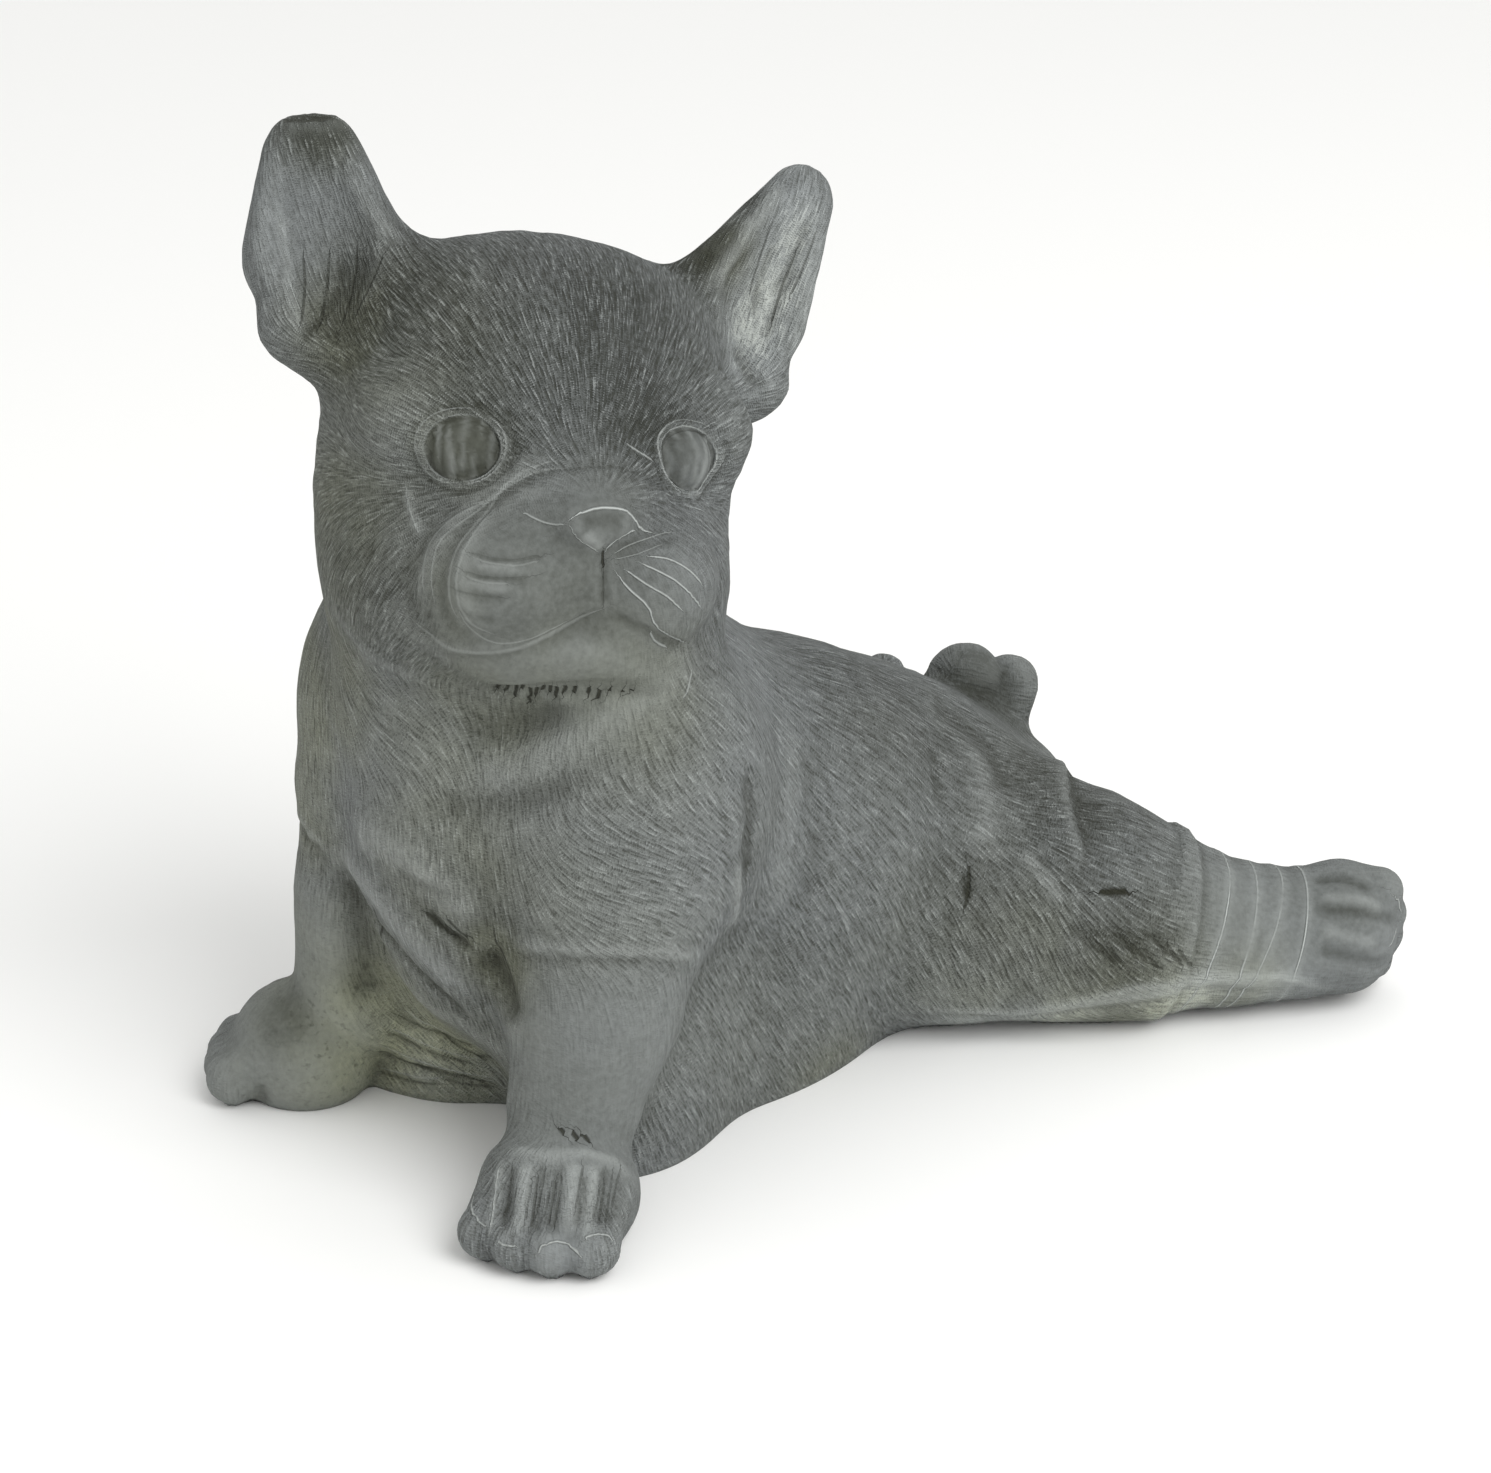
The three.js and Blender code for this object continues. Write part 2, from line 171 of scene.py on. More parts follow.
def trunk(p):
    d = round_cone(p, neck["top"], neck["base"], neck["top_radius"], neck["base_radius"])
    d = join(d, limb(p, spine, ease=30), blend=30)
    d = join(d, ellipsoid(p, **belly), blend=20)
    d = join(d, ellipsoid(p, **breast), blend=20)
    for side in (1, -1):
        fore = mirrored(p, chest_middle, side)
        d = join(d, ellipsoid(fore, **apron), blend=20)
        d = join(d, ellipsoid(fore, **shoulder), blend=16)
    return d


# The legs are part of the same casting. The forelegs stand straight under the chest, and the hind
# legs lie stretched out behind with their paws turned up on edge. Each paw has a pad and four toes,
# and the right forepaw is narrower and turned further out.
foreleg = [((50, -106, 98), 31), ((51, -114, 64), 24), ((52, -124, 34), 20)]
forepaw = dict(heel=(57, -130, 14), heading=29, roll=0, length=33, width=50, toe_radius=8.5,
               toe_rise=-5, knuckle_rise=5, pad=(24, 24, 22))
thigh = [((42, 58, 41), 42), ((62, 80, 38), 37), ((78, 98, 31), 30)]
shank = [((74, 94, 32), 31), ((97, 120, 25), 22), ((112, 139, 24), 22)]
hindpaw = dict(heel=(117, 147, 25), heading=146, roll=78, length=20, width=44, toe_radius=8,
               toe_rise=0, knuckle_rise=4, pad=(23, 18, 22))
right_forepaw = dict(forepaw, heel=(57, -128, 14), heading=44, length=34.5, width=42)
right_leg_turn = 9
toe_count = 4
toe = dict(set_back=0.013, knuckle_spread=0.85, knuckle_ahead=0.4, pad_ahead=0.3, blend=3)


def turned(axis, degrees):
    return np.array(Matrix.Rotation(math.radians(degrees), 3, axis))


class Facing:
    """The space round a form, which faces -Y there before it is turned, lifted and tilted."""

    def __init__(self, at, turn=0, lift=0, tilt=0):
        self.at = column(at)
        self.axes = turned("Z", turn) @ turned("X", -lift) @ turned("Y", tilt)

    def inside(self, p):
        return self.axes.T @ (p - self.at)

    def outside(self, q):
        return self.axes @ q + self.at


hip = (thigh[0][0][0], thigh[0][0][1], 0)
right_leg = Facing(hip, right_leg_turn)


def on_hind_leg(p, side):
    """Points beside the left hind leg as they lie to it, or to the right one mirrored on it."""
    return p if side > 0 else right_leg.inside(mirrored(p, 0, side)) + column(hip)


def paw_form(p, paw):
    q = Facing(paw["heel"], paw["heading"], 0, paw["roll"]).inside(p)
    d = ellipsoid(q, (0, -paw["length"] * toe["pad_ahead"], 0), paw["pad"])
    spacing = (paw["width"] - 2 * paw["toe_radius"]) / (toe_count - 1)
    for i in range(toe_count):
        aside = (i - (toe_count - 1) / 2) * spacing
        ahead = paw["length"] - toe["set_back"] * aside * aside
        knuckle = (aside * toe["knuckle_spread"], -ahead * toe["knuckle_ahead"], paw["knuckle_rise"])
        tip = (aside, -ahead, paw["toe_rise"])
        d = join(d, round_cone(q, knuckle, tip, paw["toe_radius"], paw["toe_radius"]), toe["blend"])
    return d


def foreleg_form(p, paw):
    return join(limb(p, foreleg, ease=10), paw_form(p, paw), blend=6)


def hind_leg_form(p, d):
    d = join(d, limb(p, thigh, ease=10), blend=24)
    return join(d, join(limb(p, shank, ease=10), paw_form(p, hindpaw), blend=6), blend=10)


# The head is turned to the puppy's left and lifted, and is cast in one with the neck. Everything on
# it is placed from its own middle, facing -Y, and what lies off the middle is mirrored. A form of
# these lists comes with the width of its fillet.
head = Facing((-3, -95, 214), 68, 17, 10)
skull = dict(at=(0, 2, 15), radii=(58, 54, 58))
head_pairs = [
    (dict(at=(21, 6, 32), radii=(37, 40, 35)), 10),
    (dict(at=(44, -24, 16), radii=(16, 18, 17)), 10),
    (dict(at=(25, 4, -15), radii=(35, 31, 41)), 20),
    (dict(at=(28, -16, -24), radii=(27, 25, 31)), 14),
]
head_middles = [
    (dict(at=(0, -7, -34), radii=(54, 46, 23)), 16),
    (dict(at=(0, -40, -6), radii=(30, 26, 20)), 12),
    (dict(at=(0, -39, -22), radii=(28, 25, 19)), 10),
    (dict(at=(0, -35, -46), radii=(36, 23, 14)), 4),
]
lip = dict(at=(21, -38, -26), radii=(25, 29, 22))
nose = dict(at=(0, -61, -10), radii=(12.5, 9, 8))
fold = [((12, -46, 10), 5), ((31, -41, -2), 6), ((45, -32, -18), 6), ((46, -28, -36), 5)]
eye = Facing((31.5, -40, 8.5), 24, 4)
eye_radii = (10.4, 10.4, 10.4)
socket = dict(at=(0, -13, 0), radii=(15.5, 8, 14.5))

left_ear = dict(at=(67, 7, 54), root=24, tip=12, length=38, lean=31, lobe=(67, 9, 33))
right_ear = dict(at=(62, 7, 62), root=24, tip=15, length=27, lean=11, lobe=(63, 9, 42))
ear_face = 16
ear_flatness = 0.58
ear_sweep = 6
hollow = dict(at=(0, -15, 14), radii=(19, 13, 36))
lobe_radii = (18, 10, 14)


def ear_space(p, one, side):
    q = Facing(one["at"], 0, 0, one["lean"]).inside(mirrored(p, 0, side))
    return turned("Z", -ear_face) @ q


def ear_form(p, one, side):
    q = ear_space(p, one, side)
    flat = np.stack([q[0], q[1] / ear_flatness, q[2]])
    leaf = round_cone(flat, (0, 0, 0), (0, ear_sweep, one["length"]), one["root"], one["tip"])
    leaf = leaf * (1 + ear_flatness) / 2
    leaf = join(leaf, ellipsoid(mirrored(p, 0, side), one["lobe"], lobe_radii), blend=4)
    return carve(leaf, ellipsoid(q, **hollow), blend=4)


def head_form(world):
    p = head.inside(world)
    half = np.stack([np.abs(p[0]), p[1], p[2]])
    d = ellipsoid(p, **skull)
    for form, blend in head_pairs:
        d = join(d, ellipsoid(half, **form), blend)
    for form, blend in head_middles:
        d = join(d, ellipsoid(p, **form), blend)
    d = join(d, ellipsoid(half, **lip), blend=6)
    d = join(d, limb(half, fold, ease=2), blend=6)
    d = join(d, np.minimum(ear_form(p, left_ear, 1), ear_form(p, right_ear, -1)), blend=14)
    q = eye.inside(half)
    d = carve(d, ellipsoid(q, **socket), blend=3)
    d = np.minimum(d, ellipsoid(q, (0, 0, 0), eye_radii))
    return join(d, ellipsoid(p, **nose), blend=2)


def figure(p):
    d = trunk(p)
    for side in (1, -1):
        paw = forepaw if side > 0 else right_forepaw
        d = join(d, foreleg_form(mirrored(p, chest_middle, side), paw), blend=10)
        d = hind_leg_form(on_hind_leg(p, side), d)
        d = join(d, ellipsoid(mirrored(p, 0, side), **buttock), blend=3)
    d = join(d, ellipsoid(p, **skirt), blend=8)
    d = join(d, limb(p, tail, ease=3), blend=6)
    return join(d, head_form(p), blend=12)


# The skin of the casting: one vertex in each cell of a lattice that the surface passes through.
# The lattice is drawn together round the head and the paws, where the carving is finest, by lenses
# that each have a middle, a reach and a pull. The surface is first looked for in coarse cells.
lattice_step = 2.2
coarse = 4
coarse_reach = 1.25 * coarse * lattice_step
skin_margin = 34
least_lift = 0.05 * lattice_step
settling_rounds = 3
furthest_move = 0.3 * lattice_step
least_slope = 0.05
slope_probe = 0.1
lenses = [
    (head.outside(column(skull["at"])), 250, 0.48),
    (head.outside(column((0, -40, -6))), 80, 0.34),
    (head.outside(column((74, 7, 65))), 55, 0.3),
    (head.outside(column((-64, 7, 69))), 55, 0.3),
    (column((chest_middle + 65, -144, 14)), 58, 0.42),
    (column((chest_middle - 65, -144, 14)), 58, 0.42),
    (column((123, 155, 25)), 58, 0.42),
    (column((-106, 169, 25)), 58, 0.42),
]
corners = np.array(list(itertools.product((0, 1), repeat=3)))


def drawn_together(p):
    z = p[2]
    q = p.copy()
    for at, reach, pull in lenses:
        away = q - at
        distance2 = np.minimum((away * away).sum(0) / reach**2, 1)
        q -= pull * (1 - distance2) ** 2 * np.clip(z / at[2], 0, 1) * away
    return q


def checkered(inside):
    """Fills cells whose surface would cross itself, so that the skin is one clean sheet."""
    changed = False
    size = inside.shape

    def part(offset):
        return tuple(slice(o, n - 1 + o) for o, n in zip(offset, size))

    for axis in range(3):
        u, v = [a for a in range(3) if a != axis]
        ring = [[0, 0, 0] for _ in range(4)]
        ring[1][u] = ring[2][u] = ring[2][v] = ring[3][v] = 1
        s = [inside[part(o)] for o in ring]
        bad = (s[0] == s[2]) & (s[1] == s[3]) & (s[0] != s[1])
        if bad.any():
            changed = True
            for o in ring:
                inside[part(o)] |= bad
    for corner in corners[:4]:
        opposite = 1 - corner
        mine = inside[part(corner)]
        alone = mine == inside[part(opposite)]
        for other in corners:
            if not (other == corner).all() and not (other == opposite).all():
                alone &= inside[part(other)] != mine
        if alone.any():
            changed = True
            for other in corners:
                inside[part(other)] |= alone
    return changed


def skinned():
    """The vertices of the figure's skin and its four-sided faces."""
    low = np.array([cad_low.x, cad_low.y, 0]) / unit - stand - skin_margin
    high = np.array(cad_high) / unit - stand + skin_margin
    low[2] = -lattice_step / 2
    counts = (np.ceil((high - low) / lattice_step / coarse).astype(int)) * coarse + 1

    def nodes(ix, iy, iz):
        flat = np.stack([ix, iy, iz]).reshape(3, -1) * lattice_step + low[:, None]
        return drawn_together(flat)

    rough_axes = [np.arange(0, n, coarse) for n in counts]
    rough = np.meshgrid(*rough_axes, indexing="ij")
    rough_field = figure(nodes(*rough)).reshape(rough[0].shape)
    near = np.abs(rough_field) < coarse_reach
    touched = np.zeros(np.array(rough_field.shape) - 1, bool)
    signs = rough_field < 0
    first = signs[:-1, :-1, :-1]
    for i, j, k in corners:
        part = np.s_[i:i + touched.shape[0], j:j + touched.shape[1], k:k + touched.shape[2]]
        touched |= near[part] | (signs[part] != first)
    wanted = np.zeros(counts, bool)
    for i, j, k in itertools.product(range(coarse + 1), repeat=3):
        view = wanted[i:, j:, k:][::coarse, ::coarse, ::coarse]
        view[:touched.shape[0], :touched.shape[1], :touched.shape[2]] |= touched
    inside = np.repeat(np.repeat(np.repeat(signs, coarse, 0), coarse, 1), coarse, 2)
    inside = inside[:counts[0], :counts[1], :counts[2]].copy()
    field = np.where(inside, -lattice_step, lattice_step).astype(np.float32)
    place = np.zeros((3, *counts), np.float32)
    index = np.nonzero(wanted)
    at = nodes(*index)
    place[:, index[0], index[1], index[2]] = at
    field[index] = figure(at)
    field[:, :, 0] = lattice_step
    inside = field < 0
    while checkered(inside):
        pass
    field[inside & (field >= 0)] = -least_lift

    cells = np.zeros(counts - 1, np.uint8)
    for i, j, k in corners:
        cells += inside[i:i + counts[0] - 1, j:j + counts[1] - 1, k:k + counts[2] - 1]
    cell_index = np.array(np.nonzero((cells > 0) & (cells < len(corners))))
    flat = place.reshape(3, -1)
    value = field.reshape(-1)
    filled = inside.reshape(-1)
    stride = np.array([counts[1] * counts[2], counts[2], 1])
    base = stride @ cell_index
    total = np.zeros((3, base.size))
    crossings = np.zeros(base.size)
    for corner in corners:
        for axis in range(3):
            if corner[axis]:
                continue
            a = base + stride @ corner
            b = a + stride[axis]
            crossed = filled[a] != filled[b]
            t = value[a] / np.where(crossed, value[a] - value[b], 1)
            total += np.where(crossed, flat[:, a] + t * (flat[:, b] - flat[:, a]), 0)
            crossings += crossed
    points = total / crossings
    on_floor = cell_index[2] == 0
    upper = [filled[base + stride @ c] for c in corners if c[2]]
    under_body = on_floor & np.logical_and.reduce(upper)
    points[2, on_floor] = 0
    for _ in range(settling_rounds):
        d = figure(points)
        ahead = [figure(points + slope_probe * column(e)) - d for e in np.eye(3)]
        slope = np.stack(ahead) / slope_probe
        slope[2, on_floor] = 0
        steep = (slope * slope).sum(0)
        move = np.clip(d / np.maximum(steep, least_slope), -furthest_move, furthest_move)
        move = np.where(steep < least_slope, 0, move)
        move[under_body] = 0
        points -= move * slope
        points[2] = np.where(on_floor, 0, np.maximum(points[2], least_lift))

    numbered = np.full(int(np.prod(counts)), -1)
    numbered[base] = np.arange(base.size)
    quads = []
    for axis in range(3):
        shape = list(counts)
        shape[axis] -= 1
        a_part = tuple(slice(0, n) for n in shape)
        b_part = tuple(slice(1 if i == axis else 0, None) for i in range(3))
        n = stride @ np.array(np.nonzero(inside[a_part] != inside[b_part]))
        u, v = stride[(axis + 1) % 3], stride[(axis + 2) % 3]
        quad = numbered[np.stack([n - u - v, n - v, n, n - u], 1)]
        outward = filled[n]
        quad[~outward] = quad[~outward][:, ::-1]
        quads.append(quad)
    return points, np.concatenate(quads)


points, quads = skinned()
vertex_count = points.shape[1]


def normals_of(p):
    across = p[:, quads[:, 2]] - p[:, quads[:, 0]]
    along = p[:, quads[:, 3]] - p[:, quads[:, 1]]
    face = np.cross(across, along, axis=0)
    total = np.stack([np.bincount(quads.ravel(), np.repeat(part, 4), vertex_count) for part in face])
    return total / np.maximum(length(total), 1e-9)


normals = normals_of(points)


# The folds of the face, modelled in the same stone: a broad one sweeps from the bridge of the nose
# round each flew to its mouth, with a furrow inside it and grooves on the flew. Carved lines are
# drawn where the photograph shows them, by marks in its pixels, and laid on the skin there.
seen_cell = 8
seen_slack = 10
least_facing = 0.04
smoothing = 5
mark_spacing = 6
hip_blend = 30
tapered_share = 0.16
soft_reach = 2.6


def ramp(value, start, breadth):
    """Zero up to start, and one from a breadth further on."""
    return np.clip((value - start) / breadth, 0, 1)


def seen_skin():
    """The vertices that the camera sees, found by pixel, and the depth of every vertex."""
    across, down, depth = seen(points)
    toward = view_place[:, None] - points
    facing = (normals * toward).sum(0) / length(toward)
    key = (across // seen_cell).astype(int) * photo_height + (down // seen_cell).astype(int)
    nearest = np.full(key.max() + 1, np.inf)
    np.minimum.at(nearest, key, depth)
    shown = np.flatnonzero((depth < nearest[key] + seen_slack) & (facing > least_facing))
    tree = kdtree.KDTree(shown.size)
    for i in shown:
        tree.insert((across[i], down[i], 0), i)
    tree.balance()
    return tree, depth


seen_tree, seen_depth = seen_skin()


def laid(line):
    """Points of the skin at pixels of the photograph."""
    depth = np.array([seen_depth[seen_tree.find((u, v, 0))[1]] for u, v in line])
    if depth.size >= smoothing:
        padded = np.pad(depth, smoothing // 2, mode="edge")
        depth = np.convolve(padded, np.ones(smoothing) / smoothing, "valid")
    u = (line[:, 0] - photo_width / 2) * depth / focal
    v = (line[:, 1] - photo_height / 2) * depth / focal
    aside = np.outer(view_right, u) - np.outer(view_up, v)
    return view_place[:, None] - view_back[:, None] * depth + aside


def drawn(marks):
    """A smooth path over the skin, through marks at pixels of the photograph."""
    m = np.array(marks, float)
    m = np.vstack([2 * m[0] - m[1], m, 2 * m[-1] - m[-2]])
    line = []
    for a, b, c, d in zip(m, m[1:], m[2:], m[3:]):
        steps = max(2, int(np.linalg.norm(c - b) / mark_spacing))
        for t in np.arange(steps) / steps:
            bend = 2 * a - 5 * b + 4 * c - d
            line.append((2 * b + (c - a) * t + bend * t**2 + (3 * b - a - 3 * c + d) * t**3) / 2)
    line.append(m[-2])
    return laid(np.array(line))


skin_tree = kdtree.KDTree(vertex_count)
for i, place in enumerate(points.T):
    skin_tree.insert(place, i)
skin_tree.balance()


def on_skin(path):
    return points[:, [skin_tree.find(place)[1] for place in path.T]]


def other_side(path, on_chest=False):
    """A path of the left side, on the right side."""
    mirror = path.copy()
    if on_chest:
        mirror[0] = 2 * chest_middle - mirror[0]
        return on_skin(mirror)
    hind = ramp(path[1], hip[1], hip_blend)
    turned_in = right_leg.outside(path - column(hip))
    mirror = hind * turned_in + (1 - hind) * path
    mirror[0] *= -1
    return on_skin(mirror)


relief, pale, dark = np.zeros((3, vertex_count))


def nearest_on(path, near):
    """The signed distance of points of the skin from a path on it, and its fading at both ends."""
    steps = length(np.diff(path, axis=1))
    run = np.concatenate([[0], np.cumsum(steps)])
    best = np.full(near.size, 1e9)
    share = np.zeros(near.size)
    for k in range(steps.size):
        ab = (path[:, k + 1] - path[:, k])[:, None]
        q = points[:, near] - path[:, k][:, None]
        t = np.clip((ab * q).sum(0) / max(float((ab * ab).sum()), 1e-6), 0, 1)
        away = q - ab * t
        d = length(away)
        side = np.sign((np.cross(ab, away, axis=0) * normals[:, near]).sum(0))
        closer = d < np.abs(best)
        best[closer] = (d * np.where(side == 0, 1, side))[closer]
        share[closer] = (run[k] + t[closer] * steps[k]) / run[-1]
    return best, np.clip(np.minimum(share, 1 - share) / tapered_share, 0, 1)


def near_path(path, reach):
    low, high = path.min(1) - reach, path.max(1) + reach
    return np.flatnonzero(((points > low[:, None]) & (points < high[:, None])).all(0))


def cut_beside(near, away, taper, height, half_width, wear_and_light=0, dirt_and_shade=0):
    # Pale on the crest and dark in the bed: partly wear and dirt, partly painted light and shade.
    strength = np.exp(-(away / half_width) ** 2) * taper
    relief[near] += height * strength
    pale[near] = np.maximum(pale[near], wear_and_light * strength)
    dark[near] = np.maximum(dark[near], dirt_and_shade * strength)


def cut(path, height, half_width, wear_and_light=0, dirt_and_shade=0):
    """A soft ridge or furrow, as high or deep as height."""
    near = near_path(path, soft_reach * half_width)
    away, taper = nearest_on(path, near)
    cut_beside(near, away, taper, height, half_width, wear_and_light, dirt_and_shade)


def lap_beside(near, away, taper, height, breadth, edge, dirt_and_shade):
    lifted = np.exp(-(np.maximum(-away, 0) / breadth) ** 2) * np.clip(0.5 - away / edge / 2, 0, 1)
    relief[near] += height * lifted * taper
    # Painted shade, with dirt, darkens the skin just beyond the fold's edge, under its overhang.
    under = np.exp(-((away - edge) / (1.2 * edge)) ** 2) * taper
    dark[near] = np.maximum(dark[near], dirt_and_shade * under)


def lap(path, height, breadth, edge, dirt_and_shade):
    """A fold of skin that laps over what lies on the left of its path, and fades to its right."""
    near = near_path(path, soft_reach * breadth)
    away, taper = nearest_on(path, near)
    lap_beside(near, away, taper, height, breadth, edge, dirt_and_shade)


scratches = []
line_reach, line_margin = 3, 2.4
finest_share = 0.15


def scratch_beside(near, away, taper, half_width, strength):
    """A fine line, kept as the signed distance to it so that it stays crisp between vertices."""
    reach = line_reach * half_width + line_margin
    close = np.abs(away) < reach
    near, away, taper = near[close], away[close], taper[close]
    strength = strength[close] if np.ndim(strength) else strength
    for layer in scratches:
        if not layer[1][near].any():
            break
    else:
        layer = np.zeros((3, vertex_count))
        scratches.append(layer)
    layer[0, near] = away / (half_width * np.maximum(taper, finest_share))
    layer[1, near] = 1 - (away / reach) ** 2
    layer[2, near] = strength


def scratch(path, half_width, strength):
    near = near_path(path, line_reach * half_width + line_margin)
    away, taper = nearest_on(path, near)
    scratch_beside(near, away, taper, half_width, strength)


def cut_all(lines):
    """Lines that stand out by their height, or sink by it. Their crests are pale and their beds dark,
    with wear and dirt and with painted light and shade.
    """
    for height, half_width, wear_and_light, dirt_and_shade, marks in lines:
        cut(drawn(marks), height, half_width, wear_and_light, dirt_and_shade)


def scratch_all(lines, half_width, strength):
    for marks in lines:
        scratch(drawn(marks), half_width, strength)


face_cuts = [
    (0.7, 2.8, .2, 0, [(556, 452), (510, 474), (468, 508), (436, 545), (422, 580), (424, 612)]),
    (-0.9, 2.6, 0, .22, [(566, 462), (520, 486), (478, 518), (450, 552), (441, 588), (450, 622),
                         (478, 645)]),
    (0.6, 2.6, .2, 0, [(556, 482), (510, 500), (478, 530), (463, 568), (466, 605), (485, 630)]),
    (0.6, 1.6, .3, 0, [(405, 484), (411, 509), (422, 538)]),
    (-0.6, 1.4, 0, .2, [(464, 550), (488, 559), (518, 561), (548, 553)]),
    (0.4, 1.2, .2, 0, [(466, 557), (490, 566), (520, 567)]),
    (-0.6, 1.4, 0, .2, [(457, 569), (480, 578), (513, 580), (538, 576)]),
    (0.4, 1.2, .2, 0, [(462, 577), (482, 585), (512, 587)]),
    (-0.5, 1.4, 0, .18, [(450, 588), (476, 597), (507, 599)]),
    (-0.4, 1.1, 0, .25, [(456, 607), (476, 617), (498, 620)]),
    (-0.4, 1.3, 0, .12, [(508, 492), (522, 480), (548, 471), (580, 469), (610, 467), (638, 474),
                         (660, 488), (680, 508)]),
    (-1.3, 3.4, 0, .5, [(578, 524), (600, 519), (628, 523)]),
    (0.5, 2.2, .4, 0, [(584, 532), (594, 542), (601, 552)]),
    (-0.9, 1.1, 0, .18, [(603, 556), (604, 580), (603, 606)]),
    (-0.5, 1.1, 0, .35, [(612, 552), (640, 540), (672, 528)]),
    (-0.5, 1.1, 0, .35, [(614, 556), (645, 548), (682, 537)]),
    (-1.2, 2.0, .0, .2, [(605, 612), (625, 622), (650, 634), (668, 642), (688, 648)]),
    (-0.8, 2.5, 0, .3, [(470, 690), (520, 688), (560, 685), (620, 685), (680, 690)]),
    (0.7, 3.5, .15, 0, [(395, 590), (405, 620), (425, 642), (455, 662)]),
    (0.8, 3.6, .15, 0, [(332, 600), (352, 635), (385, 662), (430, 682)]),
    (-0.6, 2.0, 0, .2, [(500, 480), (514, 460), (518, 440), (508, 418)]),
    (-0.5, 4.0, 0, .3, [(590, 428), (620, 426), (650, 424)]),
]
cut_all(face_cuts)
lip_edge = [(603, 604), (575, 618), (545, 635), (510, 648), (475, 652), (440, 648), (412, 634)]
lap(drawn(lip_edge), height=1.1, breadth=5, edge=1.4, dirt_and_shade=.15)


# Fine lines drawn into the face with a point: the rim of the nose, the whiskers of the left flew,
# the edge of the lip, the corner of the left eye, and cracks under the chin. A line is (half
# width, strength, marks), and is pale or, where its strength is below zero, dark.
face_lines = [
    (0.5, 0.9, [(642, 556), (668, 559), (690, 571), (706, 590)]),
    (0.5, 0.9, [(634, 560), (658, 571), (681, 585), (705, 613)]),
    (0.5, 0.8, [(622, 567), (646, 584), (668, 597), (686, 614)]),
    (0.55, 0.9, [(612, 567), (630, 590), (648, 606), (655, 624), (672, 637), (692, 646)]),
    (0.35, 0.4, [(608, 558), (630, 545), (655, 536), (678, 530)]),
    (0.3, 0.35, [(609, 561), (640, 553), (668, 541)]),
    (0.7, 0.95, [(566, 524), (576, 515), (592, 509), (608, 507), (626, 511), (638, 522), (644, 531),
                 (658, 532)]),
    (0.5, 0.5, [(520, 510), (538, 520), (556, 525), (568, 522)]),
    (0.45, 0.5, [(568, 521), (575, 533), (588, 545), (602, 555)]),
    (0.6, 0.8, [(642, 529), (626, 533), (613, 541), (605, 556)]),
    (0.5, 0.6, [(648, 628), (655, 642), (672, 650)]),
    (0.6, 0.7, [(624, 443), (642, 454), (656, 462)]),
    (0.5, -1, [(603, 548), (603, 557), (604, 570)]),
    (0.4, -0.3, [(604, 568), (603, 590), (603, 610)]),
    (0.6, 0.5, [(692, 662), (688, 685), (683, 705)]),
    (1.1, 0.22, [(608, 606), (577, 619), (547, 635), (518, 648), (484, 652), (455, 648), (430, 634),
                 (411, 617)]),
    (0.8, 0.22, [(560, 458), (520, 474), (480, 505), (452, 520), (430, 543), (424, 576), (427, 604)]),
    (0.5, 0.25, [(545, 466), (508, 486), (470, 516), (444, 538), (434, 560), (432, 590), (438, 615)]),
    (0.8, 0.22, [(572, 467), (538, 470), (505, 486), (480, 517), (459, 543), (449, 572), (450, 601),
                 (463, 626)]),
    (0.7, 0.2, [(500, 500), (478, 528), (462, 558), (457, 590), (470, 622), (500, 636)]),
    (0.5, 0.2, [(455, 600), (468, 625), (490, 640), (520, 640), (550, 628), (580, 612)]),
    (0.5, 0.35, [(403, 480), (410, 509), (422, 540)]),
    (0.6, -0.2, [(466, 551), (488, 558), (518, 560), (546, 553)]),
    (0.6, -0.2, [(459, 569), (480, 577), (513, 579), (536, 575)]),
    (0.6, -0.15, [(452, 588), (476, 596), (505, 598)]),
    (0.5, 0.16, [(467, 555), (490, 563), (519, 565), (544, 558)]),
    (0.5, 0.14, [(460, 573), (482, 582), (512, 584)]),
    (0.5, -0.2, [(560, 470), (590, 467), (620, 467), (640, 474)]),
]
for half_width, strength, marks in face_lines:
    scratch(drawn(marks), half_width, strength)
crack_top = 687
cracks = [
    (498, 7), (507, 10), (516, 14), (523, 8), (530, 22), (537, 16), (544, 9), (551, 12),
    (557, 16), (566, 12), (576, 10), (590, 12), (600, 16), (611, 8), (625, 8), (634, 6),
]
for across, drop in cracks:
    path = drawn([(across, crack_top), (across - 1, crack_top + drop / 2), (across - 4, crack_top + drop)])
    scratch(path, half_width=0.7, strength=-1)
    cut(path, height=-1.2, half_width=1.2)


# The eyes: round each stand two thin lids with a groove between them, and the ball is streaked
# upright. The left eye has the paler lids. A ring is (size, aside, above, half width, strength).
lid_width, lid_height = 11.2, 9.4
eye_rings = [
    (1.0, 0, 0, 0.5, 0.5), (0.92, 0, -0.2, 0.4, -0.35),
    (1.16, 0.5, 0.5, 0.45, 0.4), (1.25, -0.2, -0.6, 0.5, -0.2),
]
lid_place, lid_breadth = 1.08, 1.3
crease_place, crease_breadth = 1.27, 1.2
ball_size, ring_limit = 0.95, 2
left_boost = 1.5
eye_depth = 5
half = head.inside(points)
on_left = half[0] > 0
half[0] = np.abs(half[0])
at_eye = eye.inside(half)
ahead = at_eye[1] < eye_depth


hash_primes = (73856093, 19349663, 83492791)
seed_prime, hash_stir = 2654435, 1274126177
seed_shift = 17.31
hash_bits = 0xFFFF


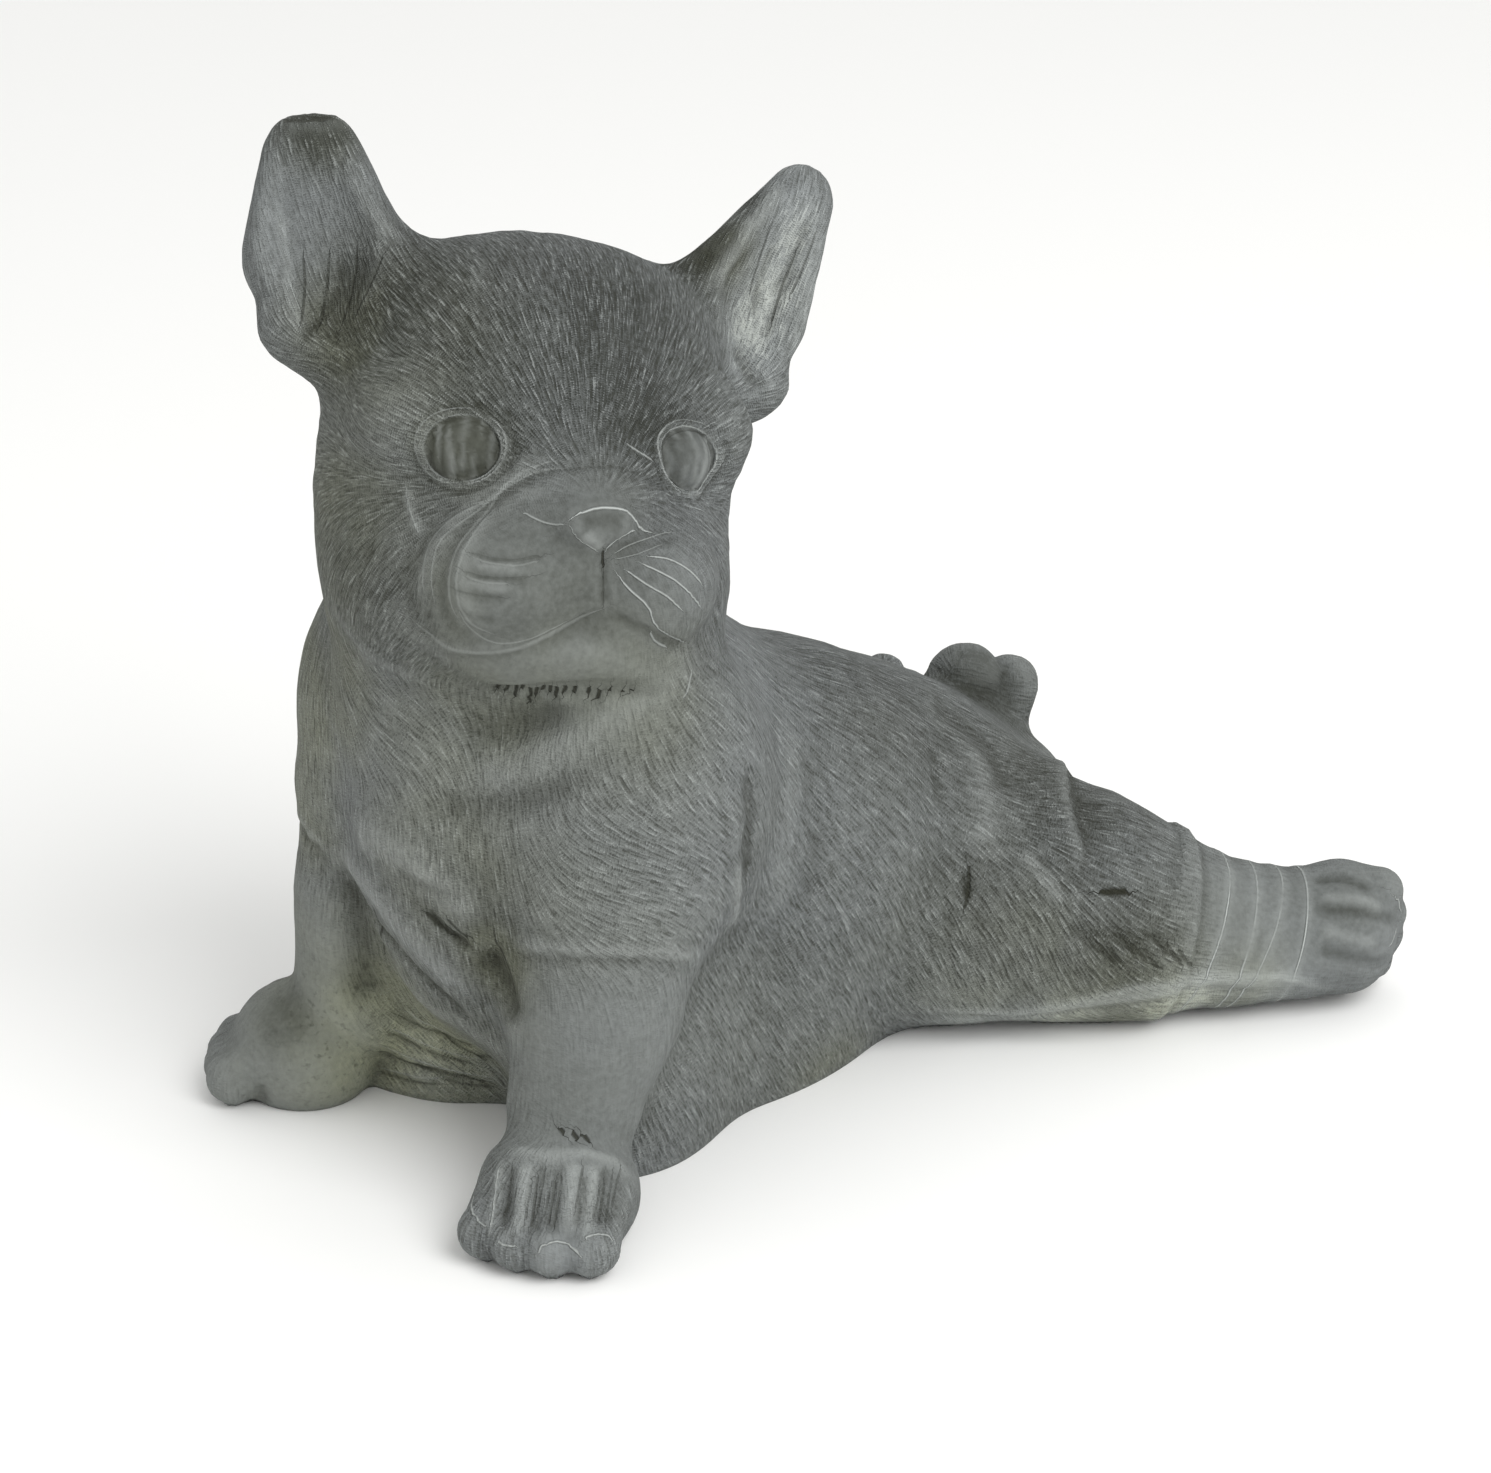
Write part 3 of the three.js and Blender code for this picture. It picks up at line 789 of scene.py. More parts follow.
def noise(p, size, seed):
    """Smooth noise from minus one to one, whose lumps are of this size."""
    q = p / size + seed * seed_shift
    cell = np.floor(q).astype(np.int64)
    f = q - cell
    f = f * f * (3 - 2 * f)
    total = np.zeros(p.shape[1])
    for corner in corners:
        c = cell + corner[:, None]
        stirred = (c[0] * hash_primes[0]) ^ (c[1] * hash_primes[1]) ^ (c[2] * hash_primes[2])
        stirred = stirred ^ (seed * seed_prime)
        stirred = (stirred ^ (stirred >> 13)) * hash_stir
        value = ((stirred ^ (stirred >> 16)) & hash_bits) / (hash_bits / 2) - 1
        share = np.where(corner[:, None] == 1, f, 1 - f).prod(0)
        total += share * value
    return total


def oval_about(aside, above):
    return np.hypot((at_eye[0] - aside) / lid_width, (at_eye[2] - above) / lid_height)


oval = oval_about(0, 0)
# Fine rings round each eye: pale on the lids and dark in the groove and the crease, partly wear and dirt,
# partly painted light and shade.
for size, aside, above, half_width, strength in eye_rings:
    for side, boost in ((on_left, left_boost), (~on_left, 1)):
        near = np.flatnonzero(side & ahead & (oval < ring_limit))
        from_ring = (oval_about(aside, above)[near] - size) * lid_width
        worn = np.clip(0.6 + 1.1 * noise(points[:, near], size=7, seed=31), 0, 1.2)
        scratch_beside(near, from_ring, np.ones(near.size), half_width, strength * boost * worn)
lid = np.exp(-((oval - lid_place) * lid_width / lid_breadth) ** 2) * ahead
crease = np.exp(-((oval - crease_place) * lid_width / crease_breadth) ** 2) * ahead
ball = (oval < ball_size) & ahead
streak = noise(at_eye * column((1.0, 0.3, 0.2)), size=1.5, seed=21)
murky = np.where(on_left, 0.36, 0.5)
# The lids are paled and the crease beyond them darkened, partly painted light and shade; the ball is
# painted dark and streaked pale.
relief += 0.9 * lid - 0.4 * crease
dark = np.maximum(dark, 0.1 * crease)
pale = np.maximum(pale, 0.12 * lid)
dark = np.maximum(dark, np.where(ball, murky + 0.4 * np.clip(-streak, 0, 1), 0))
pale = np.maximum(pale, np.where(ball, 0.6 * np.clip(streak, 0, 1), 0))


# The chest and belly: rolls of loose skin hang under the chin and run down between the forelegs,
# and long strokes of hair, cut with a blade, run over the belly. A stroke is its start and run.
chest_cuts = [
    (1.3, 6.0, .15, 0, [(700, 650), (655, 692), (610, 720), (560, 745), (510, 772), (460, 795)]),
    (-1.2, 5.0, 0, .35, [(600, 775), (540, 795), (480, 805), (420, 812)]),
    (-1.2, 6.0, 0, .4, [(570, 703), (510, 728), (450, 735)]),
    (1.5, 7.0, .4, 0, [(350, 825), (395, 850), (440, 885), (482, 928)]),
    (-1.6, 1.7, 0, 1, [(424, 908), (445, 928), (472, 950)]),
    (-1.0, 2.0, 0, .3, [(395, 868), (425, 885), (470, 900)]),
    (1.6, 6.0, .45, 0, [(330, 840), (365, 880), (400, 925), (440, 965), (480, 1000)]),
    (-2.2, 6.0, 0, .6, [(335, 865), (352, 900), (362, 940), (365, 980), (372, 1010)]),
    (-1.6, 3.0, 0, .5, [(350, 890), (385, 935), (430, 985), (480, 1030)]),
    (-2.5, 7.0, 0, .8, [(480, 950), (500, 975), (508, 1000), (512, 1025)]),
    (1.0, 5.0, .2, 0, [(390, 960), (430, 1005), (480, 1035), (508, 1060)]),
]
belly_strokes = [
    (392, 1012, 90, 40), (380, 1030, 100, 38), (372, 1050, 110, 34), (400, 1062, 100, 24),
    (372, 1072, 80, 14), (430, 1030, 70, 36), (440, 1080, 60, 8),
]
chest_streaks = [
    [(423, 909), (434, 922), (456, 938)], [(446, 915), (458, 930), (474, 940)],
    [(494, 930), (503, 960), (510, 1000)], [(372, 900), (380, 930), (384, 960)],
]
cut_all(chest_cuts)
for u, v, du, dv in belly_strokes:
    stroke = drawn([(u, v), (u + du / 2, v + dv / 2 + 3), (u + du, v + dv)])
    cut(stroke, height=-0.8, half_width=1.5, dirt_and_shade=.25)
    scratch(stroke, half_width=0.8, strength=-0.4)
    crest = drawn([(u + 4, v - 5), (u + du / 2, v + dv / 2 - 3), (u + du, v + dv - 6)])
    scratch(crest, half_width=0.7, strength=0.25)
scratch_all(chest_streaks, half_width=0.9, strength=-0.8)


# The flanks: a cuff of hair ends above each elbow, shallow folds run down behind the shoulder, and
# a step crosses the rump. What the left side shows is carved twice, as drawn and mirrored, apart
# from a rust mark, a slit, short strokes under the left thigh and the pale low edge.
arm_cuts = [
    (0.5, 2.0, .3, 0, [(512, 944), (560, 949), (610, 951), (660, 953), (702, 960)]),
    (-0.7, 2.0, 0, .15, [(505, 955), (560, 958), (610, 959), (660, 962), (700, 970)]),
    (0.9, 2.5, .45, 0, [(740, 860), (737, 885), (735, 910), (733, 930)]),
    (-1.8, 4.5, 0, .6, [(752, 760), (751, 810), (750, 850), (748, 885)]),
    (1.2, 7.0, .15, 0, [(785, 720), (790, 780), (785, 830), (777, 880), (767, 930)]),
    (-0.9, 6.0, 0, .2, [(800, 740), (814, 800), (816, 860), (800, 920)]),
]
flank_cuts = [
    (-1.5, 6.0, 0, .4, [(930, 700), (965, 725), (995, 755), (1010, 800)]),
    (1.0, 6.0, .15, 0, [(970, 740), (985, 800), (976, 860)]),
    (-1.2, 1.6, 0, .9, [(967, 872), (968, 888), (965, 904)]),
    (-0.7, 3.0, 0, .2, [(930, 740), (938, 780), (940, 815)]),
    (-0.8, 6.0, 0, .35, [(1088, 795), (1095, 820), (1105, 848)]),
    (0.8, 2.2, .3, 0, [(1020, 850), (1045, 880), (1065, 905)]),
    (-0.8, 2.2, 0, .3, [(1060, 927), (1110, 936), (1160, 936), (1190, 931)]),
    (1.0, 1.8, .55, 0, [(905, 1012), (960, 1011), (1020, 1011), (1080, 1001), (1140, 986),
                        (1197, 978), (1247, 976), (1286, 978), (1316, 985), (1338, 992)]),
    (-0.8, 1.6, 0, .3, [(960, 1021), (1080, 1011), (1150, 999), (1200, 989), (1300, 992)]),
    (-1.3, 2.4, 0, .5, [(1312, 880), (1330, 877), (1352, 880), (1374, 892)]),
    (0.8, 2.2, .25, 0, [(1318, 897), (1345, 899), (1366, 903), (1385, 912)]),
    (-1.3, 2.4, 0, .5, [(1310, 908), (1335, 909), (1362, 912), (1400, 921)]),
    (0.8, 2.2, .25, 0, [(1318, 928), (1345, 936), (1380, 944)]),
    (-1.2, 2.4, 0, .3, [(1312, 948), (1340, 956), (1372, 962), (1392, 958)]),
]
rump_step = [(1060, 766), (1064, 776), (1067, 790), (1072, 815), (1080, 845), (1092, 872)]
rust_mark = [(1096, 893), (1114, 892), (1134, 891)]
flank_slit = [(967, 862), (970, 880), (968, 896), (964, 912)]
thigh_stroke_count = 9
thigh_stroke_start = (1086, 934)
low_edge = [(905, 1022), (1000, 1018), (1080, 1005), (1160, 990), (1220, 981), (1300, 988)]
for lines, on_chest in ((arm_cuts, True), (flank_cuts, False)):
    for height, half_width, wear_and_light, dirt_and_shade, marks in lines:
        path = drawn(marks)
        cut(path, height, half_width, wear_and_light, dirt_and_shade)
        cut(other_side(path, on_chest), height, half_width, wear_and_light, dirt_and_shade)
path = drawn(rump_step)
for way in (path, other_side(path)[:, ::-1]):
    lap(way, height=3.4, breadth=13, edge=1.5, dirt_and_shade=.4)
scratch(drawn(rust_mark), half_width=1.9, strength=-1.2)
scratch(drawn(flank_slit), half_width=0.9, strength=-0.9)
for k in range(thigh_stroke_count):
    u, v = thigh_stroke_start[0] + 11 * k, thigh_stroke_start[1] + 5 * (k % 3)
    stroke = drawn([(u, v), (u + 8, v + 13), (u + 20, v + 24 + 4 * (k % 2))])
    scratch(stroke, half_width=0.9, strength=-0.6)
    cut(stroke, height=-0.5, half_width=1.4, dirt_and_shade=.15)
# Painted light: the low edge of the flank, just above the ground, is painted pale along a faint ridge.
cut(drawn(low_edge), height=0.2, half_width=4.5, wear_and_light=.75)


# The ankles: round each runs a step, where the thigh's coat ends, and four thin rings below it, all
# cut into the same stone. The left ankle's marks set them on both.
ankle_step = [(1197, 848), (1200, 876), (1198, 923)]
ankle_rings = [
    [(1225, 856), (1228, 894), (1218, 947), (1204, 976)],
    [(1253, 859), (1256, 894), (1248, 947), (1242, 973)],
    [(1280, 862), (1282, 894), (1271, 935), (1265, 965)],
    [(1306, 865), (1305, 900), (1300, 970)],
]
hock, ankle = column(shank[1][0]), column(shank[2][0])
down_leg = (ankle - hock) / length(ankle - hock)
ankle_reach = 36


def beside_ring(marks, side):
    """Where each point of a leg lies before or past the slanting ring that runs through marks."""
    path = drawn(marks)
    slant, start = np.polyfit(path[2], (down_leg * (path - hock)).sum(0), 1)
    at_leg = on_hind_leg(points, side)
    run = (down_leg * (at_leg - hock)).sum(0)
    near = np.flatnonzero(length(at_leg - hock - run * down_leg) < ankle_reach)
    return near, run[near] - start - slant * at_leg[2, near], np.ones(near.size)


for side in (1, -1):
    lap_beside(*beside_ring(ankle_step, side), height=1.8, breadth=12, edge=1.2, dirt_and_shade=.25)
    for marks in ankle_rings:
        near, away, taper = beside_ring(marks, side)
        worn = np.clip(0.5 + 0.8 * noise(points[:, near], size=9, seed=33), 0.1, 1)
        cut_beside(near, away, taper, height=0.5, half_width=1.6, wear_and_light=0.15)
        scratch_beside(near, away, taper, half_width=0.6, strength=worn)


# The paws: strings of hair run down to the toes of the left forepaw, over which three slits are
# cut, and its toes and those of the left hind paw show their claws. The right forepaw is worn
# smooth.
paw_cuts = [
    (0.9, 1.8, .4, 0, [(502, 1160), (496, 1200), (491, 1236)]),
    (-1.2, 2.2, 0, .35, [(511, 1162), (507, 1195), (503, 1232)]),
    (1.2, 2.8, .45, 0, [(527, 1158), (523, 1200), (519, 1238)]),
    (-1.3, 2.4, 0, .4, [(541, 1160), (537, 1195), (531, 1236)]),
    (-1.2, 2.4, 0, .4, [(558, 1160), (555, 1195), (549, 1236)]),
    (1.2, 2.6, .4, 0, [(574, 1158), (572, 1200), (570, 1238)]),
    (1.1, 2.2, .45, 0, [(594, 1160), (590, 1205), (583, 1240)]),
    (-1.2, 1.8, 0, .35, [(584, 1170), (581, 1200), (577, 1232)]),
    (-1.3, 2.6, 0, .35, [(606, 1164), (602, 1195), (595, 1228)]),
    (-1.0, 3.0, 0, .3, [(622, 1172), (617, 1200), (608, 1228)]),
    (0.7, 2.2, .3, 0, [(505, 1150), (540, 1155), (583, 1154), (617, 1162), (630, 1178)]),
    (-0.8, 2.0, 0, .25, [(268, 1106), (262, 1094), (262, 1080)]),
]
claw_lines = [
    [(502, 1160), (496, 1200), (490, 1238)], [(472, 1190), (474, 1215), (490, 1232)],
    [(493, 1238), (504, 1245), (520, 1247)],
    [(536, 1260), (543, 1246), (560, 1241), (575, 1249), (583, 1262)],
    [(580, 1243), (590, 1236), (609, 1235), (614, 1246)], [(1398, 924), (1394, 938), (1386, 950)],
    [(1386, 890), (1398, 900), (1402, 915)],
]
slit_starts = [(557, 1125), (570, 1130), (581, 1132)]
string_columns = [512, 518, 533, 538, 545, 551, 556, 562, 583, 602, 607, 614, 621]
string_top, string_foot = 1162, 1215
cut_all(paw_cuts)
scratch_all(claw_lines, half_width=0.6, strength=0.8)
slits = [[(u, v), (u + 5, v + 6), (u + 10, v + 12)] for u, v in slit_starts]
scratch_all(slits, half_width=0.9, strength=-1)
for k, across in enumerate(string_columns):
    top, foot = string_top + 7 * (k * 3 % 4), string_foot + 6 * (k * 5 % 4)
    string = drawn([(across, top), (across - 4, (top + foot) / 2), (across - 9, foot)])
    scratch(string, half_width=0.5, strength=-0.4)


# The ears, cast in one with the head: the left one shows its front edge and a streaked hollow, the
# right one a deep hollow under a broken tip. The streaks are cut with a point.
ear_cuts = [
    (1.0, 2.4, .35, 0, [(700, 292), (722, 270), (750, 228), (785, 182)]),
    (-1.2, 3.0, 0, .35, [(735, 345), (748, 372), (760, 392)]),
    (-1.6, 6.0, 0, .5, [(330, 350), (340, 310), (352, 275), (362, 250)]),
    (-1.2, 1.6, 0, .6, [(300, 345), (318, 320), (335, 290), (345, 250)]),
    (0.8, 2.2, .3, 0, [(278, 200), (284, 250), (292, 300), (302, 340)]),
    (1.0, 2.4, .2, 0, [(345, 165), (372, 215), (405, 245)]),
    (-0.8, 1.6, 0, .4, [(770, 300), (792, 262), (812, 215)]),
    (-0.8, 1.4, 0, .4, [(765, 340), (780, 300), (800, 262)]),
    (-0.8, 1.4, 0, .4, [(752, 320), (760, 280), (775, 240)]),
]
ear_streaks = [
    [(300, 330), (305, 290), (303, 250)], [(316, 335), (326, 290), (330, 245)],
    [(338, 330), (350, 285), (358, 240)], [(352, 320), (372, 280), (385, 252)],
    [(770, 330), (782, 290), (800, 245)], [(748, 300), (757, 265), (772, 225)],
    [(788, 300), (803, 268), (818, 225)],
]
cut_all(ear_cuts)
scratch_all(ear_streaks, half_width=0.5, strength=-0.6)


# The hair: carved strands that lie the way a puppy's coat lies, back from the nose over the head,
# down the chest and the flanks and along the hind legs. Muzzle, paws and ankles are smooth. A
# cowlick is (pixel, pixel, breadth, way), a patch (pixel, pixel, breadth, share of hair left).
hair_parting = (0, -62, -6)
flank_way, chest_way = (0, 0.5, -0.8), (0, 0, -1)
ear_way, hind_way = (0.35, 0.1, 1.0), (0.62, 0.72, -0.2)
neck_blend, cheek_drop, cowlick_pull = 16, 0.7, 2.5
cowlicks = [
    (620, 890, 26, (0.7, 0.7, 0)), (380, 720, 22, (0.7, 0.7, 0.05)), (430, 1060, 26, (0.6, 0.6, -0.35)),
]


def zone(u, v, breadth):
    """How near points are to the place on the skin where this pixel shows it."""
    at = laid(np.array([(float(u), float(v))]))
    return np.exp(-(length(points - at) / breadth) ** 2)


def patch(u, v, breadth):
    return np.minimum(1.4 * zone(u, v, breadth), 1)


def sideways(way, side):
    return column(way) * np.stack([side, np.ones_like(side), np.ones_like(side)])


def lie_of_hair():
    """The way of the hair along the skin, and how far each point belongs to the head."""
    q = head.inside(points)
    on_head = np.clip(0.5 + (trunk(points) - head_form(points)) / neck_blend, 0, 1)
    way = q - column(hair_parting)
    way = way / length(way)
    way[2] -= cheek_drop * ramp(-q[2], -5, 40)
    up_ear = ramp(np.abs(q[0]), 46, 12) * ramp(q[2], 34, 14)
    way = (1 - up_ear) * way + up_ear * sideways(ear_way, np.sign(q[0]))
    chest = ramp(-points[1], 88, 30)
    hind = ramp(points[1], 50, 50)
    body_way = column(flank_way) * (1 - chest) * (1 - hind) + chest * column(chest_way)
    body_way = body_way + hind * sideways(hind_way, np.sign(points[0]))
    for u, v, breadth, turned_way in cowlicks:
        body_way = body_way + cowlick_pull * zone(u, v, breadth) * column(turned_way)
    flow = on_head * (head.axes @ way) + (1 - on_head) * body_way
    flow = flow - normals * (flow * normals).sum(0)
    return flow / np.maximum(length(flow), 1e-6), on_head


flow, on_head = lie_of_hair()
hair = np.ones(vertex_count)
smooth_patches = [
    (540, 575, 24, .2), (575, 620, 18, .2), (490, 600, 18, .25), (660, 590, 15, .5), (600, 520, 12, .1),
    (590, 660, 24, .2), (520, 665, 18, .25), (1260, 915, 20, .05), (1310, 930, 20, .1),
    (1370, 920, 22, .1), (280, 1060, 26, .15), (330, 1085, 16, .3), (560, 1250, 9, .3),
    (590, 1060, 26, .3), (600, 1120, 20, .35), (990, 680, 18, .5), (300, 220, 18, .7),
    (780, 260, 16, .8), (310, 950, 20, .5), (300, 1000, 16, .5),
]
for u, v, breadth, left in smooth_patches:
    hair *= 1 - (1 - left) * patch(u, v, breadth)
hair[ball] = 0


def combed(stride, size, seed):
    """Noise drawn out along the hair."""
    half_taps = 3
    taps = range(-half_taps, half_taps + 1)
    return sum(noise(points + flow * k * stride, size, seed) / len(taps) for k in taps)


relief += hair * (0.28 * combed(1.3, size=2.2, seed=3) + 0.45 * combed(2.6, size=6.0, seed=7))
relief += 0.22 * noise(points, size=9, seed=11) + 0.1 * noise(points, size=3.5, seed=12)


# Its weathering, with painted light and shade: rain and hands have worn some parts pale, others
# are dull, and dirt and a little green growth lie on the crown and in the hollows. Many patches are
# also painted light and shade: paler where light falls, as inside the left ear, on the neck, the
# belly and the low edge above the ground, and darker where shade falls, as on the back of the left
# ear. A patch is (pixel, pixel, breadth, amount), and a dull one has an amount below zero.
weathering_and_light_patches = [
    (300, 205, 15, .25), (268, 265, 12, .15), (785, 268, 12, .9), (800, 214, 10, .9),
    (762, 314, 12, .9), (740, 350, 12, .8), (590, 660, 24, .2), (600, 1060, 34, .15),
    (850, 800, 60, .05), (1225, 910, 24, .2), (1180, 1002, 13, 1.6), (1060, 1018, 14, 1.3),
    (1280, 985, 10, .8), (960, 1010, 14, .6), (620, 870, 40, .2), (340, 930, 14, .2),
    (560, 1258, 8, .4), (540, 1165, 12, .2), (300, 930, 20, .25), (280, 1060, 24, .3),
    (400, 1030, 30, .6), (430, 1080, 26, .6), (310, 760, 26, .45), (380, 760, 26, .3),
    (390, 440, 18, .3), (500, 740, 26, .25), (700, 470, 14, .2), (720, 240, 8, -.9),
    (745, 205, 7, -1.0), (692, 262, 9, -.7), (320, 125, 11, -.9), (300, 110, 9, -.6),
    (395, 270, 14, -.3), (350, 320, 14, -.2), (470, 500, 16, -.12), (540, 580, 26, -.25),
    (620, 600, 16, -.15), (330, 650, 26, -.15), (600, 710, 30, -.2), (490, 930, 20, -.3),
    (285, 1020, 10, -.8), (975, 668, 13, -.8), (1010, 700, 14, -.5), (1290, 880, 12, -.15),
    (1350, 905, 12, -.2), (750, 870, 12, -.3), (1000, 745, 24, -.3), (1120, 955, 16, -.4),
    (1130, 870, 34, -.3), (965, 890, 14, -.3), (880, 700, 36, -.5), (1060, 800, 20, -.25),
    (465, 442, 13, -.5), (560, 300, 50, -.4), (650, 340, 30, -.35), (400, 340, 24, -.2),
    (365, 560, 24, -.2), (660, 450, 14, -.4),
]
green_patches = [
    (300, 700, 30, .6), (305, 800, 24, .5), (340, 690, 24, .5), (400, 1030, 40, 1.0), (430, 1085, 30, 1.0),
    (330, 640, 24, .6), (590, 665, 26, .4), (350, 330, 16, .7), (490, 690, 24, .4), (1000, 960, 30, .5),
    (340, 540, 30, .4), (640, 700, 24, .4), (1110, 1000, 30, .6), (330, 1000, 18, .7), (420, 760, 24, .3),
    (400, 340, 30, .4), (455, 440, 13, .5), (430, 860, 34, .35), (320, 120, 12, .5), (280, 1080, 24, .35),
    (500, 960, 16, .6), (720, 250, 9, .6), (1240, 990, 14, .5), (420, 600, 20, .3), (830, 1080, 20, .4),
]
weathering_and_painted_light, green = np.zeros((2, vertex_count))
for u, v, breadth, amount in weathering_and_light_patches:
    weathering_and_painted_light += amount * patch(u, v, breadth)
for u, v, breadth, amount in green_patches:
    green = np.maximum(green, amount * patch(u, v, breadth))


# The carved skin: the relief stands on the skin and fades out where the puppy meets the ground. The
# tip of the right ear, the highest point of the casting, is broken off flat. Where the skin is
# hollow it is darkened, with dirt and painted shade, and its crests are paled, with wear and painted
# light.
relief_starts = 5
least_height = 0.05
break_depth = 2.4
full_bend = 0.3
bend_smoothings = 2
carved = points + normals * relief * ramp(points[2], 0, relief_starts)
carved[2] = np.where(points[2] <= 0, 0, np.maximum(carved[2], least_height))
break_height = carved[2].max() - break_depth
broken = np.flatnonzero(carved[2] > break_height)
carved[2, broken] = break_height + 0.5 * noise(points[:, broken], size=3, seed=41)
edges = np.concatenate([quads[:, [i, (i + 1) % 4]] for i in range(4)])
edge_count = np.bincount(edges[:, 0], minlength=vertex_count) + 1e-9


def neighbours_mean(values):
    return np.bincount(edges[:, 0], values[edges[:, 1]], vertex_count) / edge_count


around = np.stack([neighbours_mean(part) for part in carved])
bend = ((around - carved) * normals_of(carved)).sum(0)
for _ in range(bend_smoothings):
    bend = (bend + neighbours_mean(bend)) / 2
deep, proud = ramp(bend, 0, full_bend), ramp(-bend, 0, full_bend)

mesh = bpy.data.meshes.new("puppy_carved")
mesh.vertices.add(vertex_count)
mesh.vertices.foreach_set("co", ((carved + stand[:, None]) * unit).T.astype(np.float32).ravel())
mesh.loops.add(quads.size)
mesh.loops.foreach_set("vertex_index", quads.astype(np.int32).ravel())
mesh.polygons.add(len(quads))
mesh.polygons.foreach_set("loop_start", np.arange(0, quads.size, 4, dtype=np.int32))
mesh.update(calc_edges=True)
mesh.validate()
mesh.polygons.foreach_set("use_smooth", np.ones(len(quads), bool))
point_values = dict(pale=pale, dark=dark, hair=hair, deep=deep, proud=proud, weathering_and_painted_light=weathering_and_painted_light,
                    green=green, on_head=on_head)
for name, values in point_values.items():
    attribute = mesh.attributes.new(name, "FLOAT", "POINT")
    attribute.data.foreach_set("value", values.astype(np.float32))
point_vectors = {"hair_flow": flow}
point_vectors.update({f"scratches_{k}": layer for k, layer in enumerate(scratches)})
for name, values in point_vectors.items():
    attribute = mesh.attributes.new(name, "FLOAT_VECTOR", "POINT")
    attribute.data.foreach_set("vector", values.T.astype(np.float32).ravel())
puppy = bpy.data.objects.new("puppy_carved", mesh)
bpy.context.scene.collection.objects.link(puppy)


# Its finish: grey cast stone, darker in the hollows and pale on the crests, with dirt and wear and
# with painted shade and light, and with the finest hair, grain and pinholes in the stone's own
# surface. The casting carries no paint.
def node(tree, kind, **settings):
    made = tree.nodes.new(kind)
    for key, value in settings.items():
        setattr(made, key, value)
    return made


def wired(tree, made, **sockets):
    """Sets or links a node's inputs by name, or by number as in i0."""
    for key, value in sockets.items():
        numbered = key[0] == "i" and key[1:].isdigit()
        socket = made.inputs[int(key[1:]) if numbered else key.replace("_", " ")]
        if isinstance(value, bpy.types.NodeSocket):
            tree.links.new(value, socket)
        else:
            socket.default_value = value
    return made


def maths(tree, operation, a, b=0.0, clamp=False):
    made = node(tree, "ShaderNodeMath", operation=operation, use_clamp=clamp)
    return wired(tree, made, i0=a, i1=b).outputs[0]


def group(name, inputs, outputs):
    tree = bpy.data.node_groups.new(name, "ShaderNodeTree")
    for label, kind, value in inputs:
        socket = tree.interface.new_socket(label, in_out="INPUT", socket_type=kind)
        if value is not None:
            socket.default_value = value
    for label, kind in outputs:
        tree.interface.new_socket(label, in_out="OUTPUT", socket_type=kind)
    return tree, tree.nodes.new("NodeGroupInput"), tree.nodes.new("NodeGroupOutput")


combed_hair, start, end = group(
    "combed hair",
    [("Place", "NodeSocketVector", None), ("Flow", "NodeSocketVector", None),
     ("Fineness", "NodeSocketFloat", 900.0), ("Stride", "NodeSocketFloat", 0.0011)],
    [("Strands", "NodeSocketFloat")])
total = None
taps = 5
for k in range(taps):
    reach = maths(combed_hair, "MULTIPLY", start.outputs["Stride"], k - (taps - 1) / 2)
    step = node(combed_hair, "ShaderNodeVectorMath", operation="SCALE")
    wired(combed_hair, step, i0=start.outputs["Flow"], Scale=reach)
    moved = node(combed_hair, "ShaderNodeVectorMath", operation="ADD")
    wired(combed_hair, moved, i0=start.outputs["Place"], i1=step.outputs[0])
    grain = node(combed_hair, "ShaderNodeTexNoise")
    wired(combed_hair, grain, Vector=moved.outputs[0], Scale=start.outputs["Fineness"], Detail=0.0)
    total = grain.outputs[0] if total is None else maths(combed_hair, "ADD", total, grain.outputs[0])
contrast = node(combed_hair, "ShaderNodeMapRange")
mean_grain = maths(combed_hair, "DIVIDE", total, float(taps))
wired(combed_hair, contrast, Value=mean_grain, From_Min=0.42, From_Max=0.58)
combed_hair.links.new(contrast.outputs[0], end.inputs["Strands"])

stone = bpy.data.materials.new("cast stone")
stone.use_nodes = True
tree = stone.node_tree
shader = tree.nodes["Principled BSDF"]
place = node(tree, "ShaderNodeTexCoord").outputs["Object"]


def attribute_of(name, output="Fac"):
    return node(tree, "ShaderNodeAttribute", attribute_name=name).outputs[output]


def times(a, b):
    return maths(tree, "MULTIPLY", a, b)


def plus(a, b):
    return maths(tree, "ADD", a, b)


def mixed(factor, a, b, blend="MIX"):
    mix = node(tree, "ShaderNodeMix", data_type="RGBA", blend_type=blend)
    return wired(tree, mix, i0=factor, i6=a, i7=b).outputs[2]


def ranged(value, low, high, to_low=0.0, to_high=1.0):
    scale = node(tree, "ShaderNodeMapRange")
    ends = dict(From_Min=low, From_Max=high, To_Min=to_low, To_Max=to_high)
    return wired(tree, scale, Value=value, **ends).outputs[0]


def clouds(scale, detail):
    made = node(tree, "ShaderNodeTexNoise")
    return wired(tree, made, Vector=place, Scale=scale, Detail=detail).outputs[0]


def hair_of(fineness, stride):
    made = node(tree, "ShaderNodeGroup", node_tree=combed_hair)
    return wired(tree, made, Place=place, Flow=lie, Fineness=fineness, Stride=stride).outputs[0]


